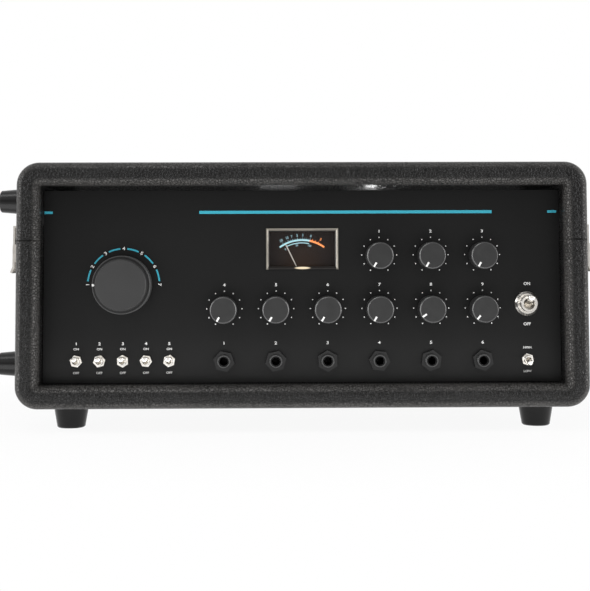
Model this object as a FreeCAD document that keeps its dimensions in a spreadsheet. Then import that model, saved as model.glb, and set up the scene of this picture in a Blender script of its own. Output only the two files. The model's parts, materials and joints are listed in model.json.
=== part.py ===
import FreeCAD, Part
import math
import os
import re
import Sketcher

# Tape echo unit in a covered wooden case, in millimetres.
# +X runs to the right of the control panel, +Y from the panel to the back, +Z up.
# The origin is on the table, under the centre of the whole unit.

SIZES = {
    # Case: a tray and a hinged lid of covered board, parted at the seam.
    "case_width": 431.5,
    "case_height": 185.0,
    "case_depth": 285.0,
    "board": 17.5,
    "corner_radius": 17.0,
    "edge_flat": 2.0,
    "lining_corner": 0.8,
    "seam_height": 126.0,
    "seam_gap": 0.5,
    # Rubber feet, under the tray and on the left side.
    "foot_height": 18.0,
    "foot_base_radius": 13.8,
    "foot_tip_radius": 10.8,
    "foot_inset_across": 34.6,
    "foot_inset_deep": 45.0,
    "foot_shift": 1.4,
    "foot_recess_radius": 4.5,
    "foot_recess_depth": 7.0,
    "foot_edge": 0.8,
    "side_foot_height": 17.8,
    "side_foot_base_radius": 10.0,
    "side_foot_tip_radius": 8.5,
    "side_foot_inset": 35.0,
    "side_foot_low": 31.8,
    "side_foot_above": 30.8,
    # Control panel.
    "panel_recess": 22.0,
    "panel_thickness": 3.0,
    "panel_side_gap": 0.4,
    "panel_foot_gap": 0.3,
    "panel_top": 164.3,
    "hole_clearance": 0.25,
    "running_clearance": 0.1,
    # Small knobs on their potentiometers.
    "knob_first": -60.2,
    "knob_pitch": 39.6,
    "knob_row_high": 114.0,
    "knob_row_low": 73.2,
    "knob_radius": 10.4,
    "knob_top_radius": 10.0,
    "knob_height": 15.0,
    "knob_edge": 0.7,
    "knob_lift": 0.7,
    "pointer_width": 1.4,
    "pointer_depth": 0.4,
    "pointer_inner": 6.0,
    "shaft_radius": 3.0,
    "shaft_tail": 9.0,
    "bushing_height": 0.3,
    "pot_body_half": 8.4,
    "pot_body_deep": 9.0,
    "pot_bushing_radius": 4.6,
    # Mode knob on its rotary switch.
    "mode_across": -137.1,
    "mode_height": 92.4,
    "mode_flange_radius": 22.1,
    "mode_flange_top": 12.8,
    "mode_face_radius": 19.3,
    "mode_face_top": 17.2,
    "switch_body_half": 16.0,
    "switch_body_deep": 24.0,
    "switch_bushing_radius": 5.4,
    # Miniature toggles, bats and nuts.
    "toggle_first": -172.6,
    "toggle_pitch": 17.7,
    "toggle_row": 34.4,
    "level_toggle_across": 172.0,
    "toggle_bushing_radius": 3.0,
    "toggle_bushing_height": 5.4,
    "toggle_bore_radius": 2.3,
    "toggle_pivot_height": 3.4,
    "toggle_pin_proud": 0.25,
    "toggle_tilt": 15.0,
    "toggle_ball_radius": 1.8,
    "toggle_pin_radius": 0.6,
    "toggle_neck_radius": 1.05,
    "toggle_neck_length": 3.0,
    "toggle_bat_radius": 2.2,
    "toggle_bat_length": 8.7,
    "toggle_nut_radius": 4.7,
    "toggle_nut_height": 1.8,
    "toggle_body_wide": 8.0,
    "toggle_body_tall": 13.0,
    "toggle_body_deep": 11.0,
    # Power toggle, a larger one with a round dress nut.
    "power_across": 172.0,
    "power_height": 77.0,
    "power_bushing_radius": 5.9,
    "power_bushing_height": 9.5,
    "power_bore_radius": 4.4,
    "power_pivot_height": 4.0,
    "power_tilt": 20.0,
    "power_ball_radius": 3.6,
    "power_pin_radius": 1.2,
    "power_neck_radius": 1.8,
    "power_neck_length": 6.2,
    "power_bat_radius": 2.65,
    "power_bat_length": 15.5,
    "dress_nut_radius": 9.3,
    "dress_nut_height": 3.4,
    "dress_nut_rim": 1.5,
    "dress_nut_shoulder": 2.7,
    "dress_nut_slope": 1.1,
    "dress_nut_edge": 0.5,
    "power_body_wide": 18.0,
    "power_body_tall": 29.0,
    "power_body_deep": 20.0,
    # Jack sockets for 6.35 mm plugs.
    "jack_row": 33.9,
    "jack_bore_radius": 3.2,
    "jack_bushing_radius": 4.9,
    "jack_bushing_height": 4.6,
    "jack_nut_flats": 14.2,
    "jack_nut_height": 2.6,
    "jack_body_wide": 15.0,
    "jack_body_tall": 16.0,
    "jack_body_deep": 26.0,
    "jack_end_wall": 1.5,
    # Level meter.
    "meter_across": -0.2,
    "meter_height": 119.4,
    "meter_wide": 55.2,
    "meter_tall": 31.3,
    "meter_proud": 1.0,
    "meter_bezel": 2.3,
    "meter_bevel": 1.6,
    "meter_case_wide": 61.0,
    "meter_case_deep": 28.0,
    "meter_wall": 1.6,
    "meter_pivot_drop": 22.4,
    "meter_pivot_margin": 8.0,
    "meter_top_margin": 4.0,
    "meter_glass_depth": 1.4,
    "meter_glass_thickness": 1.2,
    "meter_dial_depth": 8.0,
    "meter_dial_thickness": 1.0,
    "meter_fit": 0.2,
    "needle_depth": 5.4,
    "needle_thickness": 0.6,
    "needle_width": 0.7,
    "needle_length": 29.0,
    "needle_tail": 6.0,
    "needle_hub_radius": 2.6,
    "needle_hub_height": 2.2,
    "needle_pin_radius": 0.9,
    "needle_pin_height": 3.2,
    "needle_rest": 26.0,
    # Sheet metal chassis, deck and rear panel.
    "sheet": 1.5,
    "chassis_side_gap": 2.0,
    "chassis_flange": 14.0,
    "deck_drop": 2.5,
    "deck_thickness": 2.0,
    "deck_front": 70.5,
    "deck_side_gap": 0.8,
    "deck_back_gap": 0.8,
    "aperture_wide": 330.0,
    "aperture_tall": 72.0,
    "aperture_height": 64.0,
    "aperture_round": 6.0,
    "rear_panel_overlap": 10.0,
    "rear_panel_thickness": 2.0,
    "vent_first": 0.0,
    "vent_pitch": 10.0,
    "vent_count": 13.0,
    "vent_wide": 4.0,
    "vent_tall": 40.0,
    # Mains inlet.
    "inlet_across": -120.0,
    "inlet_flange_wide": 50.0,
    "inlet_flange_tall": 24.0,
    "inlet_flange_thickness": 3.0,
    "inlet_body_wide": 28.0,
    "inlet_body_tall": 20.0,
    "inlet_body_deep": 22.0,
    "inlet_wall": 2.0,
    "inlet_cavity_deep": 17.0,
    "inlet_chamfer": 4.0,
    "blade_wide": 2.0,
    "blade_tall": 4.0,
    "blade_length": 12.0,
    "blade_pitch": 7.0,
    "blade_drop": 4.0,
    # Strap handle on the right side.
    "handle_height": 78.0,
    "handle_reach": 17.8,
    "handle_span": 190.0,
    "strap_thickness": 4.0,
    "strap_width": 26.0,
    "strap_lift": 2.0,
    "strap_end": 25.0,
    "strap_slope": 16.0,
    "strap_bend": 7.0,
    "cap_length": 24.0,
    "cap_width": 34.0,
    "cap_height": 9.0,
    "cap_round": 4.0,
    "cap_fit": 0.3,
    # Butt hinges on the back.
    "hinge_reach": 5.9,
    "knuckle_radius": 2.7,
    "hinge_pin_radius": 1.5,
    "hinge_across": 130.0,
    "hinge_length": 60.0,
    "hinge_middle": 20.0,
    "hinge_end_gap": 0.4,
    "leaf_thickness": 1.5,
    "leaf_width": 25.0,
    "leaf_start": 3.4,
    "leaf_relief": 0.3,
    # Draw latches on both sides.
    "latch_inset": 35.0,
    "latch_plate": 1.2,
    "latch_plate_wide": 26.0,
    "latch_plate_low": 26.0,
    "latch_plate_high": 2.0,
    "ear_thickness": 1.5,
    "ear_reach": 6.2,
    "ear_low": 10.0,
    "ear_high": 2.6,
    "lever_width": 18.0,
    "lever_ear_gap": 0.6,
    "lever_pin_out": 4.2,
    "lever_pin_down": 6.0,
    "lever_pin_radius": 1.25,
    "hook_pin_out": 5.0,
    "hook_pin_down": 12.5,
    "hook_pin_radius": 1.0,
    "hook_width": 10.4,
    "hook_slot": 11.2,
    "hook_slot_down": 15.4,
    "lever_top_down": 3.8,
    "lever_inner": 2.7,
    "lever_outer": 6.8,
    "lever_strip": 1.5,
    "lever_knee_down": 16.4,
    "lever_bend_down": 19.5,
    "lever_tip_down": 23.9,
    "lever_tip_out": 8.6,
    "hook_inner": 5.9,
    "hook_strip": 1.4,
    "hook_hub": 1.9,
    "hook_top": 11.8,
    "hook_lip": 1.6,
    "keeper_reach": 3.5,
    "keeper_clearance": 0.4,
    "keeper_wide": 18.0,
    "keeper_low": 2.0,
    "keeper_high": 14.0,
    "keeper_shelf_low": 6.8,
    "keeper_shelf": 2.0,
    # Tape transport on the deck.
    "tape_width": 6.35,
    "tape_thickness": 0.4,
    "tape_height": 12.0,
    "tape_line": 92.0,
    "tape_gap": 0.3,
    "tape_turn": 142.0,
    "tape_corner": 6.0,
    "tape_fold_near": 150.0,
    "tape_fold_margin": 26.0,
    "tape_fold_radius": 16.0,
    "post_cap_height": 1.6,
    "post_cap_rim": 1.6,
    "head_wide": 12.0,
    "head_deep": 13.0,
    "head_tall": 12.0,
    "head_nose": 2.5,
    "head_face_half": 2.0,
    "head_first": -85.0,
    "record_head": -52.0,
    "play_head_first": -14.0,
    "play_head_pitch": 33.0,
    "block_side": 12.0,
    "block_deep": 24.0,
    "tray_wide": 330.0,
    "tray_front": 124.0,
    "tray_back_gap": 28.0,
    "tray_rim": 18.0,
    "tray_wall": 2.0,
    "tray_floor": 1.5,
    "tray_slot": 9.0,
    "tray_corner": 6.0,
    "tape_rest_gap": 0.3,
    "cover_thickness": 2.0,
    "capstan_across": 112.0,
    "capstan_radius": 2.5,
    "capstan_top": 22.0,
    "flywheel_radius": 15.0,
    "flywheel_height": 4.0,
    "flywheel_lift": 1.0,
    "motor_radius": 22.0,
    "motor_length": 43.0,
    "motor_edge": 2.0,
    "roller_radius": 9.0,
    "roller_height": 9.4,
    "roller_lift": 8.0,
    "roller_bore": 1.6,
    "arm_pivot_across": 146.0,
    "arm_pivot_line": 76.0,
    "arm_thickness": 1.8,
    "arm_lift": 5.8,
    "arm_half_width": 5.5,
    "arm_post_radius": 3.0,
    "arm_post_foot": 5.0,
    # Electronics under the deck.
    "circuit_left": -60.0,
    "circuit_wide": 215.0,
    "circuit_front": 62.0,
    "circuit_clearance": 10.0,
    "circuit_thickness": 1.6,
    "standoff_height": 8.0,
    "standoff_radius": 3.0,
    "standoff_inset": 8.0,
    "capacitor_radius": 8.0,
    "capacitor_height": 25.0,
    "capacitor_pitch": 22.0,
    "chip_long": 20.0,
    "chip_wide": 8.0,
    "chip_tall": 4.0,
    "transformer_left": -160.0,
    "transformer_clearance": 8.0,
    "transformer_wide": 66.0,
    "transformer_deep": 44.0,
    "transformer_tall": 56.0,
    "winding_margin": 11.0,
    "winding_reach": 9.0,
    "tank_left": -60.0,
    "tank_wide": 240.0,
    "tank_clearance": 10.0,
    "tank_deep": 66.0,
    "tank_tall": 32.0,
    "spring_radius": 3.0,
    "spring_block": 14.0,
    "spring_pitch": 22.0,
}

# Places worked out from the sizes. Depths are counted from the front of the case
# and heights from its underside; "front" and "base" carry them into the unit's frame.
PLACES = {
    "front": "-(case_depth + hinge_reach) / 2",
    "base": "foot_height",
    "edge_round": "(board - edge_flat) / 2",
    "half_width": "case_width / 2",
    "inner_half": "half_width - board",
    "seam_low": "seam_height - seam_gap / 2",
    "seam_high": "seam_height + seam_gap / 2",
    "panel_half": "inner_half - panel_side_gap",
    "panel_low": "board + panel_foot_gap",
    "panel_face": "front + panel_recess",
    "panel_back": "panel_recess + panel_thickness",
    "rear_board": "case_depth - board",
    "rear_panel_front": "rear_board - rear_panel_thickness",
    "chassis_half": "inner_half - chassis_side_gap",
    "chassis_floor": "board + panel_foot_gap",
    "floor_top": "chassis_floor + sheet",
    "side_foot_high": "seam_height + side_foot_above",
    "grip_half": "handle_span / 2 - strap_end - strap_slope",
    "deck_top": "seam_height - deck_drop",
    "deck_low": "deck_top - deck_thickness",
    "tray_back": "rear_board - tray_back_gap",
    "tank_front": "rear_panel_front - tank_clearance - tank_deep",
    "transformer_front": "rear_board - inlet_body_deep - transformer_clearance - winding_reach"
                         " - transformer_deep",
    "circuit_back": "tank_front - circuit_clearance",
    "meter_case_low": "-meter_pivot_drop - meter_pivot_margin",
    "meter_case_high": "meter_tall / 2 + meter_top_margin",
    "tape_centre": "deck_top + tape_height",
    "tape_low": "tape_centre - tape_width / 2",
    "capstan_line": "tape_line + tape_thickness / 2 + tape_gap + capstan_radius",
    "roller_line": "tape_line - tape_thickness / 2 - tape_gap - roller_radius",
    "head_line": "tape_line + tape_thickness / 2 + tape_gap",
    "head_low": "tape_centre - head_tall / 2",
    "post_radius": "tape_corner - tape_thickness / 2 - tape_gap",
    "tray_floor_top": "tape_low - tape_rest_gap",
    "hinge_line": "case_depth + hinge_reach - knuckle_radius",
}

DOCUMENT = FreeCAD.newDocument("TapeEchoUnit")
SHEET = DOCUMENT.addObject("Spreadsheet::Sheet", "Sizes")
for row, (word, value) in enumerate(SIZES.items(), start=1):
    SHEET.set("A%d" % row, word)
    SHEET.set("B%d" % row, str(value))
    SHEET.setAlias("B%d" % row, word)
DOCUMENT.recompute()

NODES = []
CUTS = []
NEAR = 0.01

ACROSS = FreeCAD.Vector(1, 0, 0)
BACKWARD = FreeCAD.Vector(0, 1, 0)
UPRIGHT = FreeCAD.Vector(0, 0, 1)
STANDING = FreeCAD.Rotation(UPRIGHT, 0)
FORWARD = FreeCAD.Rotation(ACROSS, 90)
TO_BACK = FreeCAD.Rotation(ACROSS, -90)
DOWNWARD = FreeCAD.Rotation(ACROSS, 180)
TO_LEFT = FreeCAD.Rotation(BACKWARD, -90)
ALONG_X = FreeCAD.Rotation(BACKWARD, 90)
HALF_TURN = FreeCAD.Rotation(UPRIGHT, 180)


def expand(text):
    """Turn the words of a formula into references to the sheet."""
    def swap(match):
        word = match.group()
        if word in PLACES:
            return "(" + expand(PLACES[word]) + ")"
        if word in SIZES:
            return "Sizes." + word
        return word
    return re.sub(r"[A-Za-z_]\w*", swap, str(text))


def bind(thing, formulas):
    """Bind properties of an object to formulas."""
    for name, text in formulas.items():
        thing.setExpression(name, expand(text))


def place(thing, at, turn=STANDING):
    """Turn an object and bind its place to three formulas."""
    thing.Placement = FreeCAD.Placement(FreeCAD.Vector(), turn)
    for axis, text in zip("xyz", at):
        bind(thing, {"Placement.Base." + axis: text})


def case_point(across, depth, height):
    """A point given by its depth behind the front and height above the underside."""
    return (across, "front + (%s)" % depth, "base + (%s)" % height)


CASE = case_point("0", "0", "0")
PANEL = case_point("0", "panel_recess", "0")


# PartDesign helpers

def new_body(label, at=CASE, turn=STANDING):
    """A body at a bound place."""
    body = DOCUMENT.addObject("PartDesign::Body", label)
    body.Label = label
    place(body, at, turn)
    return body


def new_sketch(body, plane="XZ_Plane", offset="0"):
    """A sketch on one of the body's own planes, moved along its normal."""
    sketch = body.newObject("Sketcher::SketchObject", body.Label + "_sketch")
    origin_plane = [item for item in body.Origin.OriginFeatures if item.Role == plane][0]
    sketch.AttachmentSupport = [(origin_plane, "")]
    sketch.MapMode = "FlatFace"
    bind(sketch, {"AttachmentOffset.Base.z": offset})
    return sketch


def hold_point(sketch, geometry, point, across, up):
    """Bind one point of a sketch's geometry to two formulas."""
    for kind, text in (("DistanceX", across), ("DistanceY", up)):
        number = sketch.addConstraint(Sketcher.Constraint(kind, -1, 1, geometry, point, 1.0))
        bind(sketch, {"Constraints[%d]" % number: text})


def draw_outline(sketch, corners):
    """A closed outline of straight lines through bound corners."""
    count = len(corners)
    rough = []
    for index in range(count):
        angle = 2 * math.pi * index / count
        rough.append(FreeCAD.Vector(10 * math.cos(angle), 10 * math.sin(angle), 0))
    lines = []
    for index in range(count):
        line = Part.LineSegment(rough[index], rough[(index + 1) % count])
        lines.append(sketch.addGeometry(line, False))
    for index in range(count):
        following = lines[(index + 1) % count]
        sketch.addConstraint(Sketcher.Constraint("Coincident", lines[index], 2, following, 1))
    for line, (across, up) in zip(lines, corners):
        hold_point(sketch, line, 1, across, up)


def draw_rectangle(sketch, left, right, low, high):
    """A bound rectangle."""
    draw_outline(sketch, [(left, low), (right, low), (right, high), (left, high)])


def draw_circle(sketch, across, up, radius):
    """A bound circle."""
    circle = sketch.addGeometry(Part.Circle(FreeCAD.Vector(), UPRIGHT, 1.0), False)
    hold_point(sketch, circle, 3, across, up)
    number = sketch.addConstraint(Sketcher.Constraint("Radius", circle, 1.0))
    bind(sketch, {"Constraints[%d]" % number: radius})


def add_pad(body, sketch, length, reverse=False, middle=False):
    """Extrude a sketch by a bound length."""
    pad = body.newObject("PartDesign::Pad", body.Label + "_pad")
    pad.Profile = sketch
    pad.Reversed = reverse
    pad.Midplane = middle
    bind(pad, {"Length": length})
    return pad


def add_pocket(body, sketch, length, reverse=False, middle=False):
    """Cut a sketch into the body by a bound length."""
    pocket = body.newObject("PartDesign::Pocket", body.Label + "_pocket")
    pocket.Profile = sketch
    pocket.Reversed = reverse
    pocket.Midplane = middle
    bind(pocket, {"Length": length})
    CUTS.append(pocket)
    return pocket


def add_turning(body, corners):
    """Revolve an outline of (radius, height) corners about the body's upright axis."""
    sketch = new_sketch(body)
    draw_outline(sketch, corners)
    turning = body.newObject("PartDesign::Revolution", body.Label + "_turning")
    turning.Profile = sketch
    turning.ReferenceAxis = (sketch, ["V_Axis"])
    turning.Angle = 360
    return turning


def round_edges(body, radius, chosen, kind="Fillet"):
    """Fillet or chamfer the edges of the body's last shape that chosen() picks."""
    DOCUMENT.recompute()
    tip = body.Tip
    names = []
    for number, edge in enumerate(tip.Shape.Edges, start=1):
        if chosen(edge.BoundBox, tip.Shape.BoundBox):
            names.append("Edge%d" % number)
    if not names:
        raise RuntimeError("no edge chosen on " + body.Label)
    rounding = body.newObject("PartDesign::" + kind, body.Label + "_" + kind.lower())
    rounding.Base = (tip, names)
    bind(rounding, {"Size" if kind == "Chamfer" else "Radius": radius})
    return rounding


# Part primitive helpers

def new_block(label, low, high, turn=STANDING):
    """A box between two corners of the case's frame."""
    block = DOCUMENT.addObject("Part::Box", label)
    spans = ["(%s) - (%s)" % (top, bottom) for bottom, top in zip(low, high)]
    bind(block, {"Length": spans[0], "Width": spans[1], "Height": spans[2]})
    place(block, case_point(*low), turn)
    return block


def new_rod(label, radius, length, at, turn=STANDING):
    """A cylinder from a bound place."""
    rod = DOCUMENT.addObject("Part::Cylinder", label)
    bind(rod, {"Radius": radius, "Height": length})
    place(rod, at, turn)
    return rod


def join(label, pieces):
    """Fuse pieces into one solid."""
    fused = DOCUMENT.addObject("Part::MultiFuse", label)
    fused.Shapes = pieces
    return fused


def subtract(label, base, tool):
    """Cut one piece out of another."""
    cut = DOCUMENT.addObject("Part::Cut", label)
    cut.Base = base
    cut.Tool = tool
    return cut


def keep(node, pieces):
    """Name the object, or the group of separate solids, that makes one node."""
    if len(pieces) == 1:
        group = pieces[0]
    else:
        group = DOCUMENT.addObject("Part::Compound", node)
        group.Links = pieces
    group.Label = node
    NODES.append(group)


# Case

def cabinet_half(node, low, high, inner_low, inner_high, seam_is_top):
    """A tray of covered board, open to the front, with bull-nosed front and back edges."""
    shell = new_body(node)
    block = new_sketch(shell)
    draw_rectangle(block, "-half_width", "half_width", low, high)
    add_pad(shell, block, "case_depth", reverse=True)

    def at_seam(edge, whole):
        if seam_is_top:
            return edge.ZMin > whole.ZMax - NEAR
        return edge.ZMax < whole.ZMin + NEAR

    def long_corner(edge, whole):
        return edge.YLength > whole.YLength - NEAR and not at_seam(edge, whole)

    def end_rim(edge, whole):
        at_end = edge.YMax < whole.YMin + NEAR or edge.YMin > whole.YMax - NEAR
        return at_end and not at_seam(edge, whole)

    round_edges(shell, "corner_radius", long_corner)
    round_edges(shell, "edge_round", end_rim)
    opening = new_sketch(shell)
    draw_rectangle(opening, "-inner_half", "inner_half", inner_low, inner_high)
    add_pocket(shell, opening, "rear_board")

    def inside(edge, whole):
        limit = whole.XLength / 2 - HALF_BOARD
        return abs(edge.XMin) < limit and abs(edge.XMax) < limit and not at_seam(edge, whole)

    def inner_corner(edge, whole):
        return edge.YLength > whole.YLength / 2 and inside(edge, whole)

    round_edges(shell, "lining_corner", inner_corner)

    def opening_rim(edge, whole):
        return edge.YMax < whole.YMin + NEAR and inside(edge, whole)

    def inner_rim(edge, whole):
        flat = opening_rim(edge, whole)
        if edge.XLength < NEAR:
            return flat
        nearer = edge.ZMin - whole.ZMin if seam_is_top else whole.ZMax - edge.ZMax
        return flat and nearer > HALF_BOARD

    round_edges(shell, "edge_round", inner_rim)
    return shell


def base_cabinet():
    """The lower tray, with the aperture for the rear panel."""
    shell = cabinet_half("base_cabinet", "0", "seam_low", "board", "seam_height", True)
    aperture = new_sketch(shell, offset="-case_depth")
    low = "aperture_height - aperture_tall / 2"
    high = "aperture_height + aperture_tall / 2"
    draw_rectangle(aperture, "-aperture_wide / 2", "aperture_wide / 2", low, high)
    add_pocket(shell, aperture, "board", reverse=True)
    keep("base_cabinet", [shell])


def lid_shell():
    """The lid, open to the front and below."""
    lid = cabinet_half("lid_shell", "seam_high", "case_height", "seam_height",
                       "case_height - board", False)
    keep("lid_shell", [lid])


HALF_BOARD = SHEET.get("board") / 2


def rubber_foot(name, tall, base_radius, tip_radius, at, turn):
    """A tapered rubber foot with a recess for its screw."""
    foot = new_body(name, at, turn)
    add_turning(foot, [
        ("0", "0"),
        (base_radius, "0"),
        (tip_radius, tall + " - foot_edge"),
        (tip_radius + " - foot_edge", tall),
        ("foot_recess_radius", tall),
        ("foot_recess_radius", tall + " - foot_recess_depth"),
        ("0", tall + " - foot_recess_depth"),
    ])
    return foot


def feet():
    """Four feet below, and four on the left side: two on the lid and two on the tray."""
    below = []
    for side in ("-1", "1"):
        for depth in ("foot_inset_deep", "case_depth - foot_inset_deep"):
            across = side + " * (half_width - foot_inset_across) + foot_shift"
            at = case_point(across, depth, "0")
            name = "bottom_foot_%d" % (len(below) + 1)
            below.append(rubber_foot(name, "foot_height", "foot_base_radius",
                                     "foot_tip_radius", at, DOWNWARD))
    keep("bottom_feet", below)
    for node, height in (("base_side_feet", "side_foot_low"), ("lid_side_feet", "side_foot_high")):
        beside = []
        for depth in ("side_foot_inset", "case_depth - side_foot_inset"):
            at = case_point("-half_width", depth, height)
            name = "%s_%d" % (node, len(beside) + 1)
            beside.append(rubber_foot(name, "side_foot_height", "side_foot_base_radius",
                                      "side_foot_tip_radius", at, TO_LEFT))
        keep(node, beside)


# Control panel

def knob_column(number):
    """The across place of a column of controls, counted from 0."""
    return "knob_first + %d * knob_pitch" % number


SMALL_KNOBS = [
    ("bass_knob", knob_column(3), "knob_row_high"),
    ("treble_knob", knob_column(4), "knob_row_high"),
    ("feedback_knob", knob_column(5), "knob_row_high"),
    ("input_volume_knob", knob_column(0), "knob_row_low"),
    ("chorus_rate_knob", knob_column(1), "knob_row_low"),
    ("chorus_depth_knob", knob_column(2), "knob_row_low"),
    ("reverb_volume_knob", knob_column(3), "knob_row_low"),
    ("speed_knob", knob_column(4), "knob_row_low"),
    ("echo_volume_knob", knob_column(5), "knob_row_low"),
]

SMALL_TOGGLES = [
    ("direct_toggle", "toggle_first", "-1"),
    ("motor_toggle", "toggle_first + toggle_pitch", "-1"),
    ("layering_toggle", "toggle_first + 2 * toggle_pitch", "-1"),
    ("echo_toggle", "toggle_first + 3 * toggle_pitch", "-1"),
    ("chorus_toggle", "toggle_first + 4 * toggle_pitch", "-1"),
    ("output_level_toggle", "level_toggle_across", "1"),
]

JACKS = [knob_column(number) for number in range(6)]


def front_panel():
    """The painted panel, pierced for every control."""
    panel = new_body("front_panel", PANEL)
    plate = new_sketch(panel)
    draw_rectangle(plate, "-panel_half", "panel_half", "panel_low", "panel_top")
    add_pad(panel, plate, "panel_thickness", reverse=True)
    holes = new_sketch(panel)
    for name, across, height in SMALL_KNOBS:
        draw_circle(holes, across, height, "pot_bushing_radius + hole_clearance")
    draw_circle(holes, "mode_across", "mode_height", "switch_bushing_radius + hole_clearance")
    for name, across, side in SMALL_TOGGLES:
        draw_circle(holes, across, "toggle_row", "toggle_bushing_radius + hole_clearance")
    draw_circle(holes, "power_across", "power_height", "power_bushing_radius + hole_clearance")
    for across in JACKS:
        draw_circle(holes, across, "jack_row", "jack_bushing_radius + hole_clearance")
    wide = "meter_wide / 2 + hole_clearance"
    tall = "meter_tall / 2 + hole_clearance"
    draw_rectangle(holes, "meter_across - (%s)" % wide, "meter_across + " + wide,
                   "meter_height - (%s)" % tall, "meter_height + " + tall)
    add_pocket(panel, holes, "panel_thickness")
    keep("front_panel", [panel])


def on_panel(across, height):
    """A place on the panel's face."""
    return case_point(across, "panel_recess", height)


def turned(name, corners, at, turn=FORWARD):
    """A turned piece at a bound place, pointing forwards unless it is turned otherwise."""
    piece = new_body(name, at, turn)
    add_turning(piece, corners)
    return piece


def small_knobs():
    """Nine knobs, each fast on the shaft that turns in its potentiometer."""
    for name, across, height in SMALL_KNOBS:
        at = on_panel(across, height)
        knob = turned(name, [
            ("0", "-shaft_tail"),
            ("shaft_radius", "-shaft_tail"),
            ("shaft_radius", "knob_lift"),
            ("knob_radius", "knob_lift"),
            ("knob_top_radius", "knob_height - knob_edge"),
            ("knob_top_radius - knob_edge", "knob_height"),
            ("0", "knob_height"),
        ], at, FreeCAD.Rotation(BACKWARD, POINTER_RESTS.get(name, LOWEST)).multiply(FORWARD))
        pointer = new_sketch(knob, "XY_Plane", "knob_height")
        draw_rectangle(pointer, "-pointer_width / 2", "pointer_width / 2",
                       "pointer_inner", "knob_radius + knob_edge")
        add_pocket(knob, pointer, "pointer_depth")
        keep(name, [knob])


LOWEST = -150
POINTER_RESTS = {"speed_knob": -125, "echo_volume_knob": -140}


def rotary_control(name, at, across, height, kind):
    """A square control body behind the panel, its bushing, and the bore for a shaft."""
    back = "-panel_thickness"
    bushing = turned(name + "_bushing", [
        ("0", "bushing_height"),
        (kind + "_bushing_radius", "bushing_height"),
        (kind + "_bushing_radius", back),
        ("0", back),
    ], at)
    half = kind + "_body_half"
    low = ("(%s) - %s" % (across, half), "panel_back", "(%s) - %s" % (height, half))
    high = ("(%s) + %s" % (across, half), "panel_back + %s_body_deep" % kind,
            "(%s) + %s" % (height, half))
    solid = join(name + "_solid", [bushing, new_block(name + "_body", low, high)])
    bore = new_rod(name + "_bore", "shaft_radius + running_clearance",
                   "bushing_height + shaft_tail + running_clearance", at, TO_BACK)
    bind(bore, {"Placement.Base.y": "panel_face - bushing_height"})
    return subtract(name, solid, bore)


def potentiometers():
    """The rotary controls behind the small knobs."""
    controls = []
    for name, across, height in SMALL_KNOBS:
        label = "control_%d" % (len(controls) + 1)
        controls.append(rotary_control(label, on_panel(across, height), across, height, "pot"))
    keep("potentiometers", controls)


def mode_control():
    """The large mode knob, its shaft, and the rotary switch that holds it."""
    at = on_panel("mode_across", "mode_height")
    keep("mode_knob", [turned("mode_knob", [
        ("0", "-shaft_tail"),
        ("shaft_radius", "-shaft_tail"),
        ("shaft_radius", "knob_lift"),
        ("mode_flange_radius", "knob_lift"),
        ("mode_flange_radius", "mode_flange_top - knob_edge"),
        ("mode_flange_radius - knob_edge", "mode_flange_top"),
        ("mode_face_radius + knob_edge", "mode_flange_top"),
        ("mode_face_radius", "mode_face_top - knob_edge"),
        ("mode_face_radius - knob_edge", "mode_face_top"),
        ("0", "mode_face_top"),
    ], at)])
    switch = rotary_control("mode_switch", at, "mode_across", "mode_height", "switch")
    keep("mode_switch", [switch])


def toggle_bat(node, across, height, kind, side):
    """A bat lever on its ball and pivot pin, leaning up or down in its bushing."""
    bat = new_body(node)
    at = case_point(across, "panel_recess - %s_pivot_height" % kind, height)
    place(bat, at, FORWARD)
    bind(bat, {"Placement.Rotation.Angle": "90 + (%s) * %s_tilt" % (side, kind)})
    ball = kind + "_ball_radius"
    neck = kind + "_neck_radius"
    radius = kind + "_bat_radius"
    length = kind + "_bat_length"
    # The rounded end: how wide it is and how far below the tip, in shares of its radius.
    end = [("%s * %s" % (wide, radius), "%s - %s * %s" % (length, down, radius))
           for wide, down in ((1, 1), (1, 0.6), (0.85, 0.25), (0.5, 0), (0, 0))]
    add_turning(bat, [
        ("0", "-" + ball),
        (ball, "0"),
        (neck, ball),
        (neck, kind + "_neck_length"),
    ] + end)
    pin = new_sketch(bat, "YZ_Plane")
    draw_circle(pin, "0", "0", kind + "_pin_radius")
    add_pad(bat, pin, "2 * (%s + toggle_pin_proud)" % ball, middle=True)
    keep(node, [bat])


def toggle_bushing(name, across, height, kind):
    """The threaded bushing of a toggle, bored for its bat, and the switch body behind it."""
    back = "-panel_thickness"
    bore = kind + "_bore_radius"
    bottom = "%s_pivot_height - %s_ball_radius - hole_clearance" % (kind, kind)
    bushing = turned(name + "_bushing", [
        (bore, kind + "_bushing_height"),
        (kind + "_bushing_radius", kind + "_bushing_height"),
        (kind + "_bushing_radius", back),
        ("0", back),
        ("0", bottom),
        (bore, bottom),
    ], on_panel(across, height))
    low = ("(%s) - %s_body_wide / 2" % (across, kind), "panel_back",
           "%s - %s_body_tall / 2" % (height, kind))
    high = ("(%s) + %s_body_wide / 2" % (across, kind), "panel_back + %s_body_deep" % kind,
            "%s + %s_body_tall / 2" % (height, kind))
    return join(name, [bushing, new_block(name + "_body", low, high)])


def hex_nut(name, across, height, corner_radius, thickness, hole, turn):
    """A flat hexagon nut against the panel."""
    at = on_panel(across, height)
    prism = DOCUMENT.addObject("Part::Prism", name + "_hexagon")
    prism.Polygon = 6
    bind(prism, {"Circumradius": corner_radius, "Height": thickness})
    place(prism, at, FreeCAD.Rotation(BACKWARD, turn).multiply(FORWARD))
    bore = new_rod(name + "_bore", hole, thickness, at, FORWARD)
    return subtract(name, prism, bore)


NUT_TURNS = (12, 47, 28, 6, 39, 19)


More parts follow.
